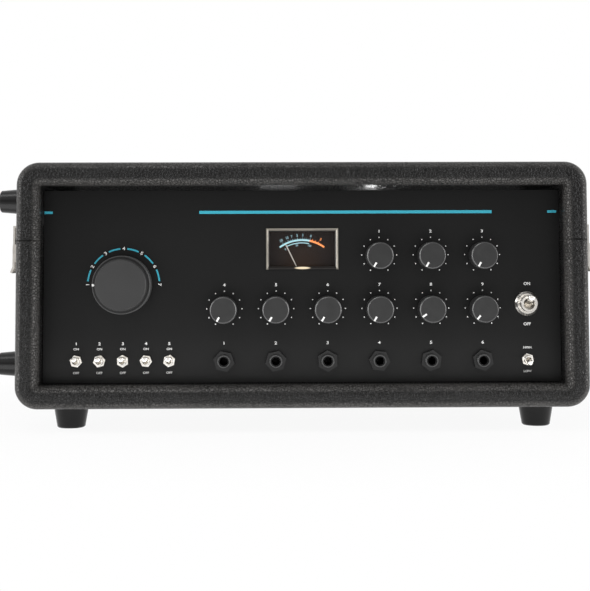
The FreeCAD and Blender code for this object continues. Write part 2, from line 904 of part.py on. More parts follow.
def toggles():
    """Six miniature toggles and the larger power toggle, with their nuts."""
    bodies = []
    nuts = []
    for turn, (node, across, side) in zip(NUT_TURNS, SMALL_TOGGLES):
        toggle_bat(node, across, "toggle_row", "toggle", side)
        bodies.append(toggle_bushing(node + "_switch", across, "toggle_row", "toggle"))
        nuts.append(hex_nut(node + "_nut", across, "toggle_row", "toggle_nut_radius",
                            "toggle_nut_height", "toggle_bushing_radius", turn))
    toggle_bat("power_toggle", "power_across", "power_height", "power", "-1")
    bodies.append(toggle_bushing("power_switch", "power_across", "power_height", "power"))
    keep("toggle_switches", bodies)
    nuts.append(turned("power_dress_nut", [
        ("power_bushing_radius", "0"),
        ("dress_nut_radius", "0"),
        ("dress_nut_radius", "dress_nut_rim"),
        ("dress_nut_radius - dress_nut_slope", "dress_nut_shoulder"),
        ("dress_nut_radius - dress_nut_slope - dress_nut_edge", "dress_nut_height"),
        ("power_bushing_radius", "dress_nut_height"),
    ], on_panel("power_across", "power_height")))
    keep("toggle_nuts", nuts)


def jacks():
    """Six jack sockets: a bored bushing through the panel on a moulded body, and a nut."""
    sockets = []
    nuts = []
    for number, across in enumerate(JACKS):
        name = "jack_%d" % (number + 1)
        at = on_panel(across, "jack_row")
        back = "-panel_thickness"
        barrel = turned(name + "_bushing", [
            ("0", "jack_bushing_height"),
            ("jack_bushing_radius", "jack_bushing_height"),
            ("jack_bushing_radius", back),
            ("0", back),
        ], at)
        low = ("(%s) - jack_body_wide / 2" % across, "panel_back", "jack_row - jack_body_tall / 2")
        high = ("(%s) + jack_body_wide / 2" % across, "panel_back + jack_body_deep",
                "jack_row + jack_body_tall / 2")
        solid = join(name + "_solid", [barrel, new_block(name + "_body", low, high)])
        length = "jack_bushing_height + panel_thickness + jack_body_deep - jack_end_wall"
        bore = new_rod(name + "_bore", "jack_bore_radius", length, at, TO_BACK)
        bind(bore, {"Placement.Base.y": "panel_face - jack_bushing_height"})
        sockets.append(subtract(name, solid, bore))
        nuts.append(hex_nut(name + "_nut", across, "jack_row", "jack_nut_flats / 2 / cos(30)",
                            "jack_nut_height", "jack_bushing_radius", NUT_TURNS[number]))
    keep("jack_sockets", sockets)
    keep("jack_nuts", nuts)


# Level meter

def level_meter():
    """The meter: a case with its bezel, a glass, a dial with the pivot pin, and the needle."""
    at = on_panel("meter_across", "meter_height")
    case_wide = "meter_case_wide / 2"
    case = new_body("meter_case", at)
    back = new_sketch(case, offset="-panel_thickness")
    draw_rectangle(back, "-" + case_wide, case_wide, "meter_case_low", "meter_case_high")
    add_pad(case, back, "meter_case_deep", reverse=True)
    bezel = new_sketch(case, offset="meter_proud")
    draw_rectangle(bezel, "-meter_wide / 2", "meter_wide / 2", "-meter_tall / 2",
                   "meter_tall / 2")
    add_pad(case, bezel, "meter_proud + panel_thickness + meter_wall", reverse=True)
    cavity = new_sketch(case, offset="-panel_thickness - meter_wall")
    inner_wide = case_wide + " - meter_wall"
    draw_rectangle(cavity, "-(%s)" % inner_wide, inner_wide, "meter_case_low + meter_wall",
                   "meter_case_high - meter_wall")
    add_pocket(case, cavity, "meter_case_deep - 2 * meter_wall")
    window = new_sketch(case, offset="meter_proud")
    glass_wide = "meter_wide / 2 - meter_bezel"
    glass_tall = "meter_tall / 2 - meter_bezel"
    draw_rectangle(window, "-(%s)" % glass_wide, glass_wide, "-(%s)" % glass_tall, glass_tall)
    add_pocket(case, window, "meter_proud + panel_thickness + 2 * meter_wall")

    def window_rim(edge, whole):
        inside = max(abs(edge.XMin), abs(edge.XMax)) < WINDOW_HALF
        return edge.YMax < whole.YMin + NEAR and inside

    round_edges(case, "meter_bevel", window_rim, "Chamfer")
    keep("meter_case", [case])

    glass = new_body("meter_window", at)
    pane = new_sketch(glass, offset="-meter_glass_depth")
    fit = " - meter_fit"
    draw_rectangle(pane, "-(%s%s)" % (glass_wide, fit), glass_wide + fit,
                   "-(%s%s)" % (glass_tall, fit), glass_tall + fit)
    add_pad(glass, pane, "meter_glass_thickness", reverse=True)
    keep("meter_window", [glass])

    dial = new_body("meter_dial", at)
    plate = new_sketch(dial, offset="-meter_dial_depth")
    draw_rectangle(plate, "-(%s%s)" % (inner_wide, fit), inner_wide + fit,
                   "meter_case_low + meter_wall + meter_fit",
                   "meter_case_high - meter_wall - meter_fit")
    add_pad(dial, plate, "meter_dial_thickness", reverse=True)
    pin = new_sketch(dial, offset="-meter_dial_depth")
    draw_circle(pin, "0", "-meter_pivot_drop", "needle_pin_radius")
    add_pad(dial, pin, "needle_pin_height")
    keep("meter_dial", [dial])

    pivot = on_panel("meter_across", "meter_height - meter_pivot_drop")
    needle = new_body("meter_needle", pivot, FreeCAD.Rotation(BACKWARD, NEEDLE_REST))
    pointer = new_sketch(needle, offset="-needle_depth")
    draw_rectangle(pointer, "-needle_width / 2", "needle_width / 2", "-needle_tail",
                   "needle_length")
    add_pad(needle, pointer, "needle_thickness", reverse=True)
    hub = new_sketch(needle, offset="-needle_depth")
    draw_circle(hub, "0", "0", "needle_hub_radius")
    add_pad(needle, hub, "needle_hub_height", reverse=True)
    hole = new_sketch(needle, offset="-needle_depth")
    draw_circle(hole, "0", "0", "needle_pin_radius + running_clearance")
    add_pocket(needle, hole, "needle_hub_height")
    keep("meter_needle", [needle])


WINDOW_HALF = (SHEET.get("meter_wide") - SHEET.get("meter_bezel")) / 2
NEEDLE_REST = -SHEET.get("needle_rest")


# Chassis and rear panel

def chassis_tray():
    """A folded tray that stands on the case floor and carries the deck on its flanges."""
    tray = new_body("chassis_tray", case_point("0", "panel_back", "0"))
    fold = new_sketch(tray)
    inner = "chassis_half - sheet"
    lip = "chassis_half - chassis_flange"
    draw_outline(fold, [
        ("-chassis_half", "chassis_floor"),
        ("chassis_half", "chassis_floor"),
        ("chassis_half", "deck_low"),
        (lip, "deck_low"),
        (lip, "deck_low - sheet"),
        (inner, "deck_low - sheet"),
        (inner, "floor_top"),
        ("-(%s)" % inner, "floor_top"),
        ("-(%s)" % inner, "deck_low - sheet"),
        ("-(%s)" % lip, "deck_low - sheet"),
        ("-(%s)" % lip, "deck_low"),
        ("-chassis_half", "deck_low"),
    ])
    add_pad(tray, fold, "rear_panel_front - panel_back", reverse=True)
    keep("chassis_tray", [tray])


def deck_plate():
    """The plate that carries the tape transport, with the hole for the capstan."""
    deck = new_body("deck_plate")
    plate = new_sketch(deck, "XY_Plane", "deck_low")
    half = "inner_half - deck_side_gap"
    draw_rectangle(plate, "-(%s)" % half, half, "deck_front", "rear_board - deck_back_gap")
    add_pad(deck, plate, "deck_thickness")
    hole = new_sketch(deck, "XY_Plane", "deck_top")
    draw_circle(hole, "capstan_across", "capstan_line", "capstan_radius + 2 * hole_clearance")
    add_pocket(deck, hole, "deck_thickness")
    keep("deck_plate", [deck])


def rear_panel():
    """The panel behind the aperture, with cooling slots and the cut-out for the inlet."""
    panel = new_body("rear_panel", case_point("0", "rear_board", "aperture_height"))
    plate = new_sketch(panel)
    half = "aperture_wide / 2 + rear_panel_overlap"
    tall = "aperture_tall / 2 + rear_panel_overlap"
    draw_rectangle(plate, "-(%s)" % half, half, "-(%s)" % tall, tall)
    add_pad(panel, plate, "rear_panel_thickness")
    cutout = new_sketch(panel)
    wide = "inlet_body_wide / 2 + hole_clearance"
    tall = "inlet_body_tall / 2 + hole_clearance"
    draw_rectangle(cutout, "inlet_across - (%s)" % wide, "inlet_across + " + wide,
                   "-(%s)" % tall, tall)
    add_pocket(panel, cutout, "rear_panel_thickness", reverse=True)
    slot = new_sketch(panel)
    draw_rectangle(slot, "vent_first", "vent_first + vent_wide", "-vent_tall / 2",
                   "vent_tall / 2")
    vent = add_pocket(panel, slot, "rear_panel_thickness", reverse=True)
    row = panel.newObject("PartDesign::LinearPattern", "rear_panel_vents")
    row.Originals = [vent]
    row.Direction = (slot, ["H_Axis"])
    row.Mode = "Spacing"
    bind(row, {"Offset": "vent_pitch", "Occurrences": "vent_count"})
    panel.Tip = row
    keep("rear_panel", [panel])


def mains_inlet():
    """A chassis inlet with a shrouded cavity and three blades."""
    inlet = new_body("mains_inlet_shroud",
                     case_point("inlet_across", "rear_board", "aperture_height"))
    flange = new_sketch(inlet)
    draw_rectangle(flange, "-inlet_flange_wide / 2", "inlet_flange_wide / 2",
                   "-inlet_flange_tall / 2", "inlet_flange_tall / 2")
    add_pad(inlet, flange, "inlet_flange_thickness", reverse=True)
    housing = new_sketch(inlet)
    wide = "inlet_body_wide / 2"
    tall = "inlet_body_tall / 2"
    draw_rectangle(housing, "-" + wide, wide, "-" + tall, tall)
    add_pad(inlet, housing, "inlet_body_deep")
    cavity = new_sketch(inlet, offset="-inlet_flange_thickness")
    wide = wide + " - inlet_wall"
    tall = tall + " - inlet_wall"
    draw_outline(cavity, [
        ("-(%s)" % wide, "-(%s)" % tall),
        (wide, "-(%s)" % tall),
        (wide, tall + " - inlet_chamfer"),
        (wide + " - inlet_chamfer", tall),
        ("-(%s - inlet_chamfer)" % wide, tall),
        ("-(%s)" % wide, tall + " - inlet_chamfer"),
    ])
    add_pocket(inlet, cavity, "inlet_cavity_deep", reverse=True)
    pieces = [inlet]
    bottom = "rear_board + inlet_flange_thickness - inlet_cavity_deep"
    for step, drop in (("-1", "1"), ("0", "-1"), ("1", "1")):
        across = "inlet_across + (%s) * blade_pitch" % step
        height = "aperture_height - (%s) * blade_drop / 2" % drop
        low = (across + " - blade_wide / 2", bottom, height + " - blade_tall / 2")
        high = (across + " + blade_wide / 2", bottom + " + blade_length",
                height + " + blade_tall / 2")
        pieces.append(new_block("inlet_blade_%d" % len(pieces), low, high))
    keep("mains_inlet", pieces)


# Hardware

def handle():
    """A strap handle on the right side, held by two metal end caps."""
    at = case_point("half_width", "case_depth / 2", "handle_height")
    strap = new_body("handle_strap", at)
    side = new_sketch(strap, "XY_Plane")
    rise = "strap_lift + strap_thickness"
    corners = [
        ("strap_lift", "handle_span / 2"),
        ("strap_lift", "grip_half + strap_slope"),
        ("handle_reach - strap_thickness", "grip_half"),
    ]
    outer = [
        ("handle_reach", "grip_half"),
        (rise, "grip_half + strap_slope"),
        (rise, "handle_span / 2"),
    ]
    mirrored = [(across, "-(%s)" % along) for across, along in reversed(corners)]
    mirrored_outer = [(across, "-(%s)" % along) for across, along in reversed(outer)]
    draw_outline(side, corners + mirrored + mirrored_outer + outer)
    add_pad(strap, side, "strap_width", middle=True)

    def bend(edge, whole):
        upright = edge.ZLength > whole.ZLength - NEAR
        return upright and abs(edge.YMin) < whole.YLength / 2 - NEAR

    round_edges(strap, "strap_bend", bend)
    keep("handle_strap", [strap])
    caps = []
    for turn in (STANDING, HALF_TURN):
        name = "handle_cap_%d" % (len(caps) + 1)
        cap = new_body(name, at, turn)
        sign = "" if turn is STANDING else "-"
        cover = new_sketch(cap, "XY_Plane")
        inner = "handle_span / 2 + cap_fit + strap_lift - cap_length"
        outer_end = "handle_span / 2 + cap_fit + strap_lift"
        reach = "cap_height" if sign == "" else "-cap_height"
        face = "0"
        draw_outline(cover, [(face, inner), (reach, inner), (reach, outer_end), (face, outer_end)])
        add_pad(cap, cover, "cap_width", middle=True)

        def rim(edge, whole):
            free = edge.XMin > whole.XMax - NEAR if sign == "" else edge.XMax < whole.XMin + NEAR
            return free

        round_edges(cap, "cap_round", rim)
        slot = new_sketch(cap, "XY_Plane")
        low = sign + "(strap_lift - cap_fit)"
        high = sign + "(strap_lift + strap_thickness + cap_fit)"
        draw_outline(slot, [(low, inner), (high, inner), (high, "handle_span / 2 + cap_fit"),
                            (low, "handle_span / 2 + cap_fit")])
        add_pocket(cap, slot, "strap_width + 2 * cap_fit", middle=True)
        caps.append(cap)
    keep("handle_end_caps", caps)


def hinge_leaf(name, across, spans, direction):
    """One leaf on the back of the case, with its knuckles on the hinge line."""
    sign = "1" if direction == "up" else "-1"
    middle = "seam_height"
    pieces = []
    leaf_ends = ["%s + %s * leaf_start" % (middle, sign), "%s + %s * leaf_width" % (middle, sign)]
    if direction == "down":
        leaf_ends.reverse()
    left = "%s - hinge_length / 2" % across
    right = "%s + hinge_length / 2" % across
    pieces.append(new_block(name + "_plate", (left, "case_depth", leaf_ends[0]),
                            (right, "case_depth + leaf_thickness", leaf_ends[1])))
    for start, end in spans:
        label = "%s_knuckle_%d" % (name, len(pieces))
        low = "%s + (%s)" % (across, start)
        high = "%s + (%s)" % (across, end)
        at = case_point(low, "hinge_line", middle)
        pieces.append(new_rod(label, "knuckle_radius", "(%s) - (%s)" % (high, low), at, ALONG_X))
        web = [middle, "%s + %s * leaf_start" % (middle, sign)]
        if direction == "down":
            web.reverse()
        pieces.append(new_block(label + "_web", (low, "case_depth + leaf_relief", web[0]),
                                (high, "case_depth + leaf_thickness", web[1])))
    solid = join(name + "_solid", pieces)
    at = case_point(left, "hinge_line", middle)
    bore = new_rod(name + "_bore", "hinge_pin_radius + running_clearance", "hinge_length", at,
                   ALONG_X)
    return subtract(name, solid, bore)


def hinges():
    """Two butt hinges with their pins."""
    lower = []
    upper = []
    for side in ("-1", "1"):
        number = len(upper) + 1
        across = side + " * hinge_across"
        ends = [("-hinge_length / 2", "-hinge_middle / 2"), ("hinge_middle / 2", "hinge_length / 2")]
        lower.append(hinge_leaf("hinge_lower_%d" % number, across, ends, "down"))
        at = case_point("%s - hinge_length / 2" % across, "hinge_line", "seam_height")
        lower.append(new_rod("hinge_pin_%d" % number, "hinge_pin_radius", "hinge_length", at,
                             ALONG_X))
        middle = [("-hinge_middle / 2 + hinge_end_gap", "hinge_middle / 2 - hinge_end_gap")]
        upper.append(hinge_leaf("hinge_upper_%d" % number, across, middle, "up"))
    keep("hinge_lower_leaves", lower)
    keep("hinge_upper_leaves", upper)


def latch_frame(side):
    """The place and turn of a latch: its own +X points away from the case."""
    if side == "right":
        return case_point("half_width", "latch_inset", "seam_height"), STANDING
    return case_point("-half_width", "latch_inset", "seam_height"), HALF_TURN


def latch_base(side):
    """The plate on the tray, its two ears and the pin that the lever turns on."""
    at, turn = latch_frame(side)
    base = new_body(side + "_latch_base", at, turn)
    plate = new_sketch(base)
    draw_rectangle(plate, "0", "latch_plate", "-latch_plate_low", "-latch_plate_high")
    add_pad(base, plate, "latch_plate_wide", middle=True)
    ears = new_sketch(base)
    draw_rectangle(ears, "0", "ear_reach", "-ear_low", "-ear_high")
    add_pad(base, ears, "lever_width + 2 * (lever_ear_gap + ear_thickness)", middle=True)
    gap = new_sketch(base)
    draw_rectangle(gap, "latch_plate", "ear_reach", "-ear_low", "-ear_high")
    add_pocket(base, gap, "lever_width + 2 * lever_ear_gap", middle=True)
    pin = new_sketch(base)
    draw_circle(pin, "lever_pin_out", "-lever_pin_down", "lever_pin_radius")
    add_pad(base, pin, "lever_width + 2 * (lever_ear_gap + ear_thickness)", middle=True)
    return base


def latch_lever(side):
    """The pull lever: two cheeks on the base pin, the hook's pin, and a curled tab."""
    at, turn = latch_frame(side)
    lever = new_body(side + "_latch_lever", at, turn)
    profile = new_sketch(lever)
    strip = "lever_outer - lever_strip"
    draw_outline(profile, [
        ("lever_inner", "-lever_top_down"),
        ("lever_outer", "-lever_top_down"),
        ("lever_outer", "-lever_bend_down"),
        ("lever_tip_out", "-lever_tip_down"),
        ("lever_tip_out - lever_strip", "-lever_tip_down - lever_strip / 2"),
        (strip, "-lever_bend_down - lever_strip / 2"),
        (strip, "-lever_knee_down"),
        ("lever_inner", "-lever_knee_down + lever_strip"),
    ])
    add_pad(lever, profile, "lever_width", middle=True)
    slot = new_sketch(lever)
    draw_rectangle(slot, "0", "lever_tip_out", "-hook_slot_down", "0")
    add_pocket(lever, slot, "hook_slot", middle=True)
    hole = new_sketch(lever)
    draw_circle(hole, "lever_pin_out", "-lever_pin_down", "lever_pin_radius + running_clearance")
    add_pocket(lever, hole, "lever_width", middle=True)
    pin = new_sketch(lever)
    draw_circle(pin, "hook_pin_out", "-hook_pin_down", "hook_pin_radius")
    add_pad(lever, pin, "hook_slot + lever_strip", middle=True)
    keep(side + "_latch_lever", [lever])


def latch_hook(side):
    """The draw hook on the lever's pin, with a lip above the keeper's shelf."""
    at, turn = latch_frame(side)
    hook = new_body(side + "_latch_hook", at, turn)
    profile = new_sketch(hook)
    outer = "hook_inner + hook_strip"
    lip = "keeper_reach + keeper_clearance"
    draw_outline(profile, [
        ("hook_pin_out - hook_hub", "-hook_pin_down"),
        ("hook_pin_out - hook_hub / 2", "-hook_pin_down - hook_hub"),
        ("hook_pin_out + hook_hub / 2", "-hook_pin_down - hook_hub"),
        (outer, "-hook_pin_down"),
        (outer, "hook_top"),
        (lip, "hook_top"),
        (lip, "hook_top - hook_lip"),
        ("hook_inner", "hook_top - hook_lip"),
        ("hook_inner", "-hook_pin_down + hook_hub"),
        ("hook_pin_out - hook_hub / 2", "-hook_pin_down + hook_hub"),
    ])
    add_pad(hook, profile, "hook_width", middle=True)
    hole = new_sketch(hook)
    draw_circle(hole, "hook_pin_out", "-hook_pin_down", "hook_pin_radius + running_clearance")
    add_pocket(hook, hole, "hook_width", middle=True)
    keep(side + "_latch_hook", [hook])


def latch_keeper(side):
    """The keeper on the lid, a plate with a shelf for the hook."""
    at, turn = latch_frame(side)
    keeper = new_body(side + "_latch_keeper", at, turn)
    profile = new_sketch(keeper)
    draw_outline(profile, [
        ("0", "keeper_low"),
        ("latch_plate", "keeper_low"),
        ("latch_plate", "keeper_shelf_low"),
        ("keeper_reach", "keeper_shelf_low"),
        ("keeper_reach", "keeper_shelf_low + keeper_shelf"),
        ("latch_plate", "keeper_shelf_low + keeper_shelf"),
        ("latch_plate", "keeper_high"),
        ("0", "keeper_high"),
    ])
    add_pad(keeper, profile, "keeper_wide", middle=True)
    return keeper


def latches():
    """A draw latch on each side."""
    bases = []
    keepers = []
    for side in ("left", "right"):
        bases.append(latch_base(side))
        keepers.append(latch_keeper(side))
        latch_lever(side)
        latch_hook(side)
    keep("latch_bases", bases)
    keep("latch_keepers", keepers)


# Tape transport

def tape_loop():
    """The endless tape: past the heads, round two guides and in loose folds in the tray."""
    turn = SHEET.get("tape_turn")
    line = SHEET.get("tape_line")
    near = SHEET.get("tape_fold_near")
    far = TRAY_BACK - SHEET.get("tape_fold_margin")
    pitch = 2 * turn / 5
    points = [(-turn, line), (turn, line)]
    for fold in range(6):
        across = turn - fold * pitch
        ends = [far] if fold in (0, 5) else [near, far]
        if fold % 2:
            ends = ends[::-1]
        points.extend((across, depth) for depth in ends)
    corner = SHEET.get("tape_corner")
    radii = [corner, corner] + [SHEET.get("tape_fold_radius")] * (len(points) - 2)
    edges = []
    count = len(points)
    bends = []
    for index in range(count):
        before = FreeCAD.Vector(*points[index - 1], 0)
        here = FreeCAD.Vector(*points[index], 0)
        after = FreeCAD.Vector(*points[(index + 1) % count], 0)
        toward = (before - here).normalize()
        onward = (after - here).normalize()
        start = here + toward * radii[index]
        end = here + onward * radii[index]
        centre = start + onward * radii[index]
        middle = centre + (here - centre).normalize() * radii[index]
        bends.append((start, middle, end))
    for index, (start, middle, end) in enumerate(bends):
        edges.append(Part.Arc(start, middle, end).toShape())
        following = bends[(index + 1) % count][0]
        if (following - end).Length > NEAR:
            edges.append(Part.LineSegment(end, following).toShape())
    path = Part.Wire(Part.__sortEdges__(edges))
    half = SHEET.get("tape_thickness") / 2
    outer = Part.Face(path.makeOffset2D(half))
    inner = Part.Face(path.makeOffset2D(-half))
    ribbon = outer.cut(inner).extrude(FreeCAD.Vector(0, 0, SHEET.get("tape_width")))
    tape = DOCUMENT.addObject("Part::Feature", "tape_loop")
    tape.Shape = ribbon.Solids[0]
    place(tape, case_point("0", "0", "tape_low"))
    keep("tape_loop", [tape])


TRAY_BACK = SHEET.get("case_depth") - SHEET.get("board") - SHEET.get("tray_back_gap")


def deck_point(across, depth):
    """A place on the top of the deck."""
    return case_point(across, depth, "deck_top")


def tape_guides():
    """Two flanged guide posts, and the post that the pinch arm turns on."""
    posts = []
    cap = "post_radius + post_cap_rim"
    low = "tape_height - tape_width / 2 - tape_gap"
    high = "tape_height + tape_width / 2 + tape_gap"
    for side in ("-1", "1"):
        at = deck_point(side + " * (tape_turn - tape_corner)", "tape_line + tape_corner")
        posts.append(turned("tape_guide_%d" % (len(posts) + 1), [
            ("0", "0"),
            (cap, "0"),
            (cap, low),
            ("post_radius", low),
            ("post_radius", high),
            (cap, high),
            (cap, high + " + post_cap_height"),
            ("0", high + " + post_cap_height"),
        ], at, STANDING))
    posts.append(turned("arm_post", [
        ("0", "0"),
        ("arm_post_foot", "0"),
        ("arm_post_foot", "arm_lift - tape_gap"),
        ("arm_post_radius", "arm_lift - tape_gap"),
        ("arm_post_radius", "arm_lift + arm_thickness + post_cap_height"),
        ("0", "arm_lift + arm_thickness + post_cap_height"),
    ], deck_point("arm_pivot_across", "arm_pivot_line"), STANDING))
    keep("tape_guides", posts)


HEADS = [
    "head_first",
    "record_head",
    "play_head_first",
    "play_head_first + play_head_pitch",
    "play_head_first + 2 * play_head_pitch",
]


def tape_heads():
    """Five heads in a row on their block: erase, record and three playback heads."""
    block = new_block("head_block", (
        "%s - head_wide / 2 - block_side" % HEADS[0], "head_line + head_nose", "deck_top",
    ), (
        "%s + head_wide / 2 + block_side" % HEADS[-1], "head_line + block_deep", "head_low",
    ))
    keep("head_block", [block])
    heads = []
    for across in HEADS:
        name = "tape_head_%d" % (len(heads) + 1)
        head = new_body(name, case_point(across, "head_line", "head_low"))
        plan = new_sketch(head, "XY_Plane")
        draw_outline(plan, [
            ("-head_face_half", "0"),
            ("head_face_half", "0"),
            ("head_wide / 2", "head_nose"),
            ("head_wide / 2", "head_deep"),
            ("-head_wide / 2", "head_deep"),
            ("-head_wide / 2", "head_nose"),
        ])
        add_pad(head, plan, "head_tall")
        heads.append(head)
    keep("tape_heads", heads)


def tape_tray():
    """The shallow bin for the loose tape, with a slot at each side, and its clear cover."""
    middle = "(tray_front + tray_back) / 2"
    half_deep = "(tray_back - tray_front) / 2"
    at = case_point("0", middle, "deck_top")
    tray = new_body("tape_tray", at)
    block = new_sketch(tray, "XY_Plane")
    draw_rectangle(block, "-tray_wide / 2", "tray_wide / 2", "-(%s)" % half_deep, half_deep)
    add_pad(tray, block, "tray_rim")

    def upright(edge, whole):
        return edge.ZLength > whole.ZLength - NEAR

    round_edges(tray, "tray_corner", upright)
    inside = new_sketch(tray, "XY_Plane", "tray_rim")
    wide = "tray_wide / 2 - tray_wall"
    deep = half_deep + " - tray_wall"
    draw_rectangle(inside, "-(%s)" % wide, wide, "-(%s)" % deep, deep)
    add_pocket(tray, inside, "tray_rim - (tray_floor_top - deck_top)")
    under = new_sketch(tray, "XY_Plane")
    draw_rectangle(under, "-(%s)" % wide, wide, "-(%s)" % deep, deep)
    add_pocket(tray, under, "tray_floor_top - deck_top - tray_floor", reverse=True)
    slots = new_sketch(tray, "XY_Plane", "tray_rim")
    for side in ("-1", "1"):
        left = "%s * tape_turn - tray_slot / 2" % side
        right = "%s * tape_turn + tray_slot / 2" % side
        draw_rectangle(slots, left, right, "-(%s) - tray_wall" % half_deep,
                       "-(%s) + 2 * tray_wall" % half_deep)
    add_pocket(tray, slots, "tray_rim - (tray_floor_top - deck_top)")
    keep("tape_tray", [tray])
    cover = new_body("tray_cover", at)
    plate = new_sketch(cover, "XY_Plane", "tray_rim")
    draw_rectangle(plate, "-tray_wide / 2", "tray_wide / 2", "-(%s)" % half_deep, half_deep)
    add_pad(cover, plate, "cover_thickness")
    round_edges(cover, "tray_corner", upright)
    keep("tray_cover", [cover])


def capstan_drive():
    """The motor under the deck, and the capstan with its flywheel."""
    at = case_point("capstan_across", "capstan_line", "deck_low")
    motor = turned("capstan_motor", [
        ("capstan_radius + running_clearance", "0"),
        ("motor_radius", "0"),
        ("motor_radius", "-motor_length"),
        ("0", "-motor_length"),
        ("0", "-motor_length + motor_edge"),
        ("capstan_radius + running_clearance", "-motor_length + motor_edge"),
    ], at, STANDING)
    keep("capstan_motor", [motor])
    low = "flywheel_lift + deck_thickness"
    tail = "-motor_length + motor_edge + running_clearance"
    top = "deck_thickness + capstan_top"
    capstan = turned("capstan", [
        ("0", tail),
        ("capstan_radius", tail),
        ("capstan_radius", low),
        ("flywheel_radius", low),
        ("flywheel_radius", low + " + flywheel_height"),
        ("capstan_radius", low + " + flywheel_height"),
        ("capstan_radius", top),
        ("0", top),
    ], at, STANDING)
    keep("capstan", [capstan])


def pinch_roller():
    """The rubber roller, and the arm that holds it against the tape."""
    pivot = deck_point("arm_pivot_across", "arm_pivot_line")
    reach = "capstan_across - arm_pivot_across"
    rise = "roller_line - arm_pivot_line"
    arm = new_body("pinch_arm", pivot)
    plan = new_sketch(arm, "XY_Plane", "arm_lift")
    draw_outline(plan, [
        ("arm_half_width", "-arm_half_width"),
        ("arm_half_width", "arm_half_width"),
        (reach, rise + " + arm_half_width"),
        (reach + " - arm_half_width", rise),
        (reach, rise + " - arm_half_width"),
    ])
    add_pad(arm, plan, "arm_thickness")
    pin = new_sketch(arm, "XY_Plane", "arm_lift")
    draw_circle(pin, reach, rise, "roller_bore - running_clearance")
    add_pad(arm, pin, "roller_lift - arm_lift + roller_height + tape_gap")
    hole = new_sketch(arm, "XY_Plane", "arm_lift + arm_thickness")
    draw_circle(hole, "0", "0", "arm_post_radius + running_clearance")
    add_pocket(arm, hole, "arm_thickness")
    keep("pinch_arm", [arm])
    at = deck_point("capstan_across", "roller_line")
    roller = turned("pinch_roller", [
        ("roller_bore", "roller_lift"),
        ("roller_radius", "roller_lift"),
        ("roller_radius", "roller_lift + roller_height"),
        ("roller_bore", "roller_lift + roller_height"),
    ], at, STANDING)
    keep("pinch_roller", [roller])


# Electronics

def circuit_board():
    """The main board on four standoffs, with its larger components."""
    left = "circuit_left"
    right = "circuit_left + circuit_wide"
    front = "circuit_front"
    back = "circuit_back"
    low = "floor_top + standoff_height"
    top = low + " + circuit_thickness"
    pieces = [new_block("main_board", (left, front, low), (right, back, top))]
    for across in (left + " + standoff_inset", right + " - standoff_inset"):
        for depth in (front + " + standoff_inset", back + " - standoff_inset"):
            at = case_point(across, depth, "floor_top")
            name = "standoff_%d" % len(pieces)
            pieces.append(new_rod(name, "standoff_radius", "standoff_height", at))
    for number in range(3):
        across = left + " + (%d) * capacitor_pitch" % (number + 1)
        at = case_point(across, back + " - capacitor_pitch", top)
        name = "capacitor_%d" % (number + 1)
        pieces.append(new_rod(name, "capacitor_radius", "capacitor_height", at))
        chip_left = left + " + circuit_wide / 2 + (%d) * capacitor_pitch" % number
        chip_front = "(circuit_front + circuit_back) / 2"
        pieces.append(new_block("chip_%d" % (number + 1), (chip_left, chip_front, top), (
            chip_left + " + chip_wide", chip_front + " + chip_long", top + " + chip_tall")))
    keep("circuit_board", pieces)


def power_transformer():
    """A laminated core on the chassis floor with its winding."""
    right = "transformer_left + transformer_wide"
    back = "transformer_front + transformer_deep"
    high = "floor_top + transformer_tall"
    core = new_block("transformer_core", ("transformer_left", "transformer_front", "floor_top"),
                     (right, back, high))
    winding = new_block("transformer_winding", (
        "transformer_left + winding_margin", "transformer_front - winding_reach",
        "floor_top + winding_margin",
    ), (right + " - winding_margin", back + " + winding_reach", high + " - winding_margin"))
    keep("power_transformer", [join("transformer", [core, winding])])


def reverb_tank():
    """An inverted steel channel over two springs between end blocks."""
    right = "tank_left + tank_wide"
    back = "tank_front + tank_deep"
    high = "floor_top + tank_tall"
    shell = new_block("tank_shell", ("tank_left", "tank_front", "floor_top"), (right, back, high))
    hollow = new_block("tank_hollow", (
        "tank_left + sheet", "tank_front + sheet", "floor_top",
    ), (right + " - sheet", back + " - sheet", high + " - sheet"))
    pieces = [subtract("tank_channel", shell, hollow)]
    middle = "tank_front + tank_deep / 2"
    low = high + " - sheet - spring_block"
    for start in ("tank_left + sheet", right + " - sheet - spring_block"):
        name = "spring_block_%d" % len(pieces)
        pieces.append(new_block(name, (start, middle + " - spring_pitch", low), (
            start + " + spring_block", middle + " + spring_pitch", high + " - sheet")))
    length = "tank_wide - 2 * (sheet + spring_block)"
    for side in ("-1", "1"):
        at = case_point("tank_left + sheet + spring_block",
                        middle + " + (%s) * spring_pitch / 2" % side, low + " + spring_block / 2")
        name = "spring_%d" % len(pieces)
        pieces.append(new_rod(name, "spring_radius", length, at, ALONG_X))
    keep("reverb_tank", pieces)


def check_document():
    """Stop if any object failed, any shape is unsound, or a cut removed nothing."""
    for thing in DOCUMENT.Objects:
        for word in ("Invalid", "Error"):
            if word in thing.State:
                raise RuntimeError("%s: %s" % (thing.Label, thing.State))
    for node in NODES:
        if node.Shape.isNull() or not node.Shape.isValid():
            raise RuntimeError("unsound shape: " + node.Label)
        if not node.Shape.Solids:
            raise RuntimeError("no solid: " + node.Label)
    for cut in CUTS:
        if abs(cut.BaseFeature.Shape.Volume - cut.Shape.Volume) < NEAR:
            raise RuntimeError("nothing cut: " + cut.Label)


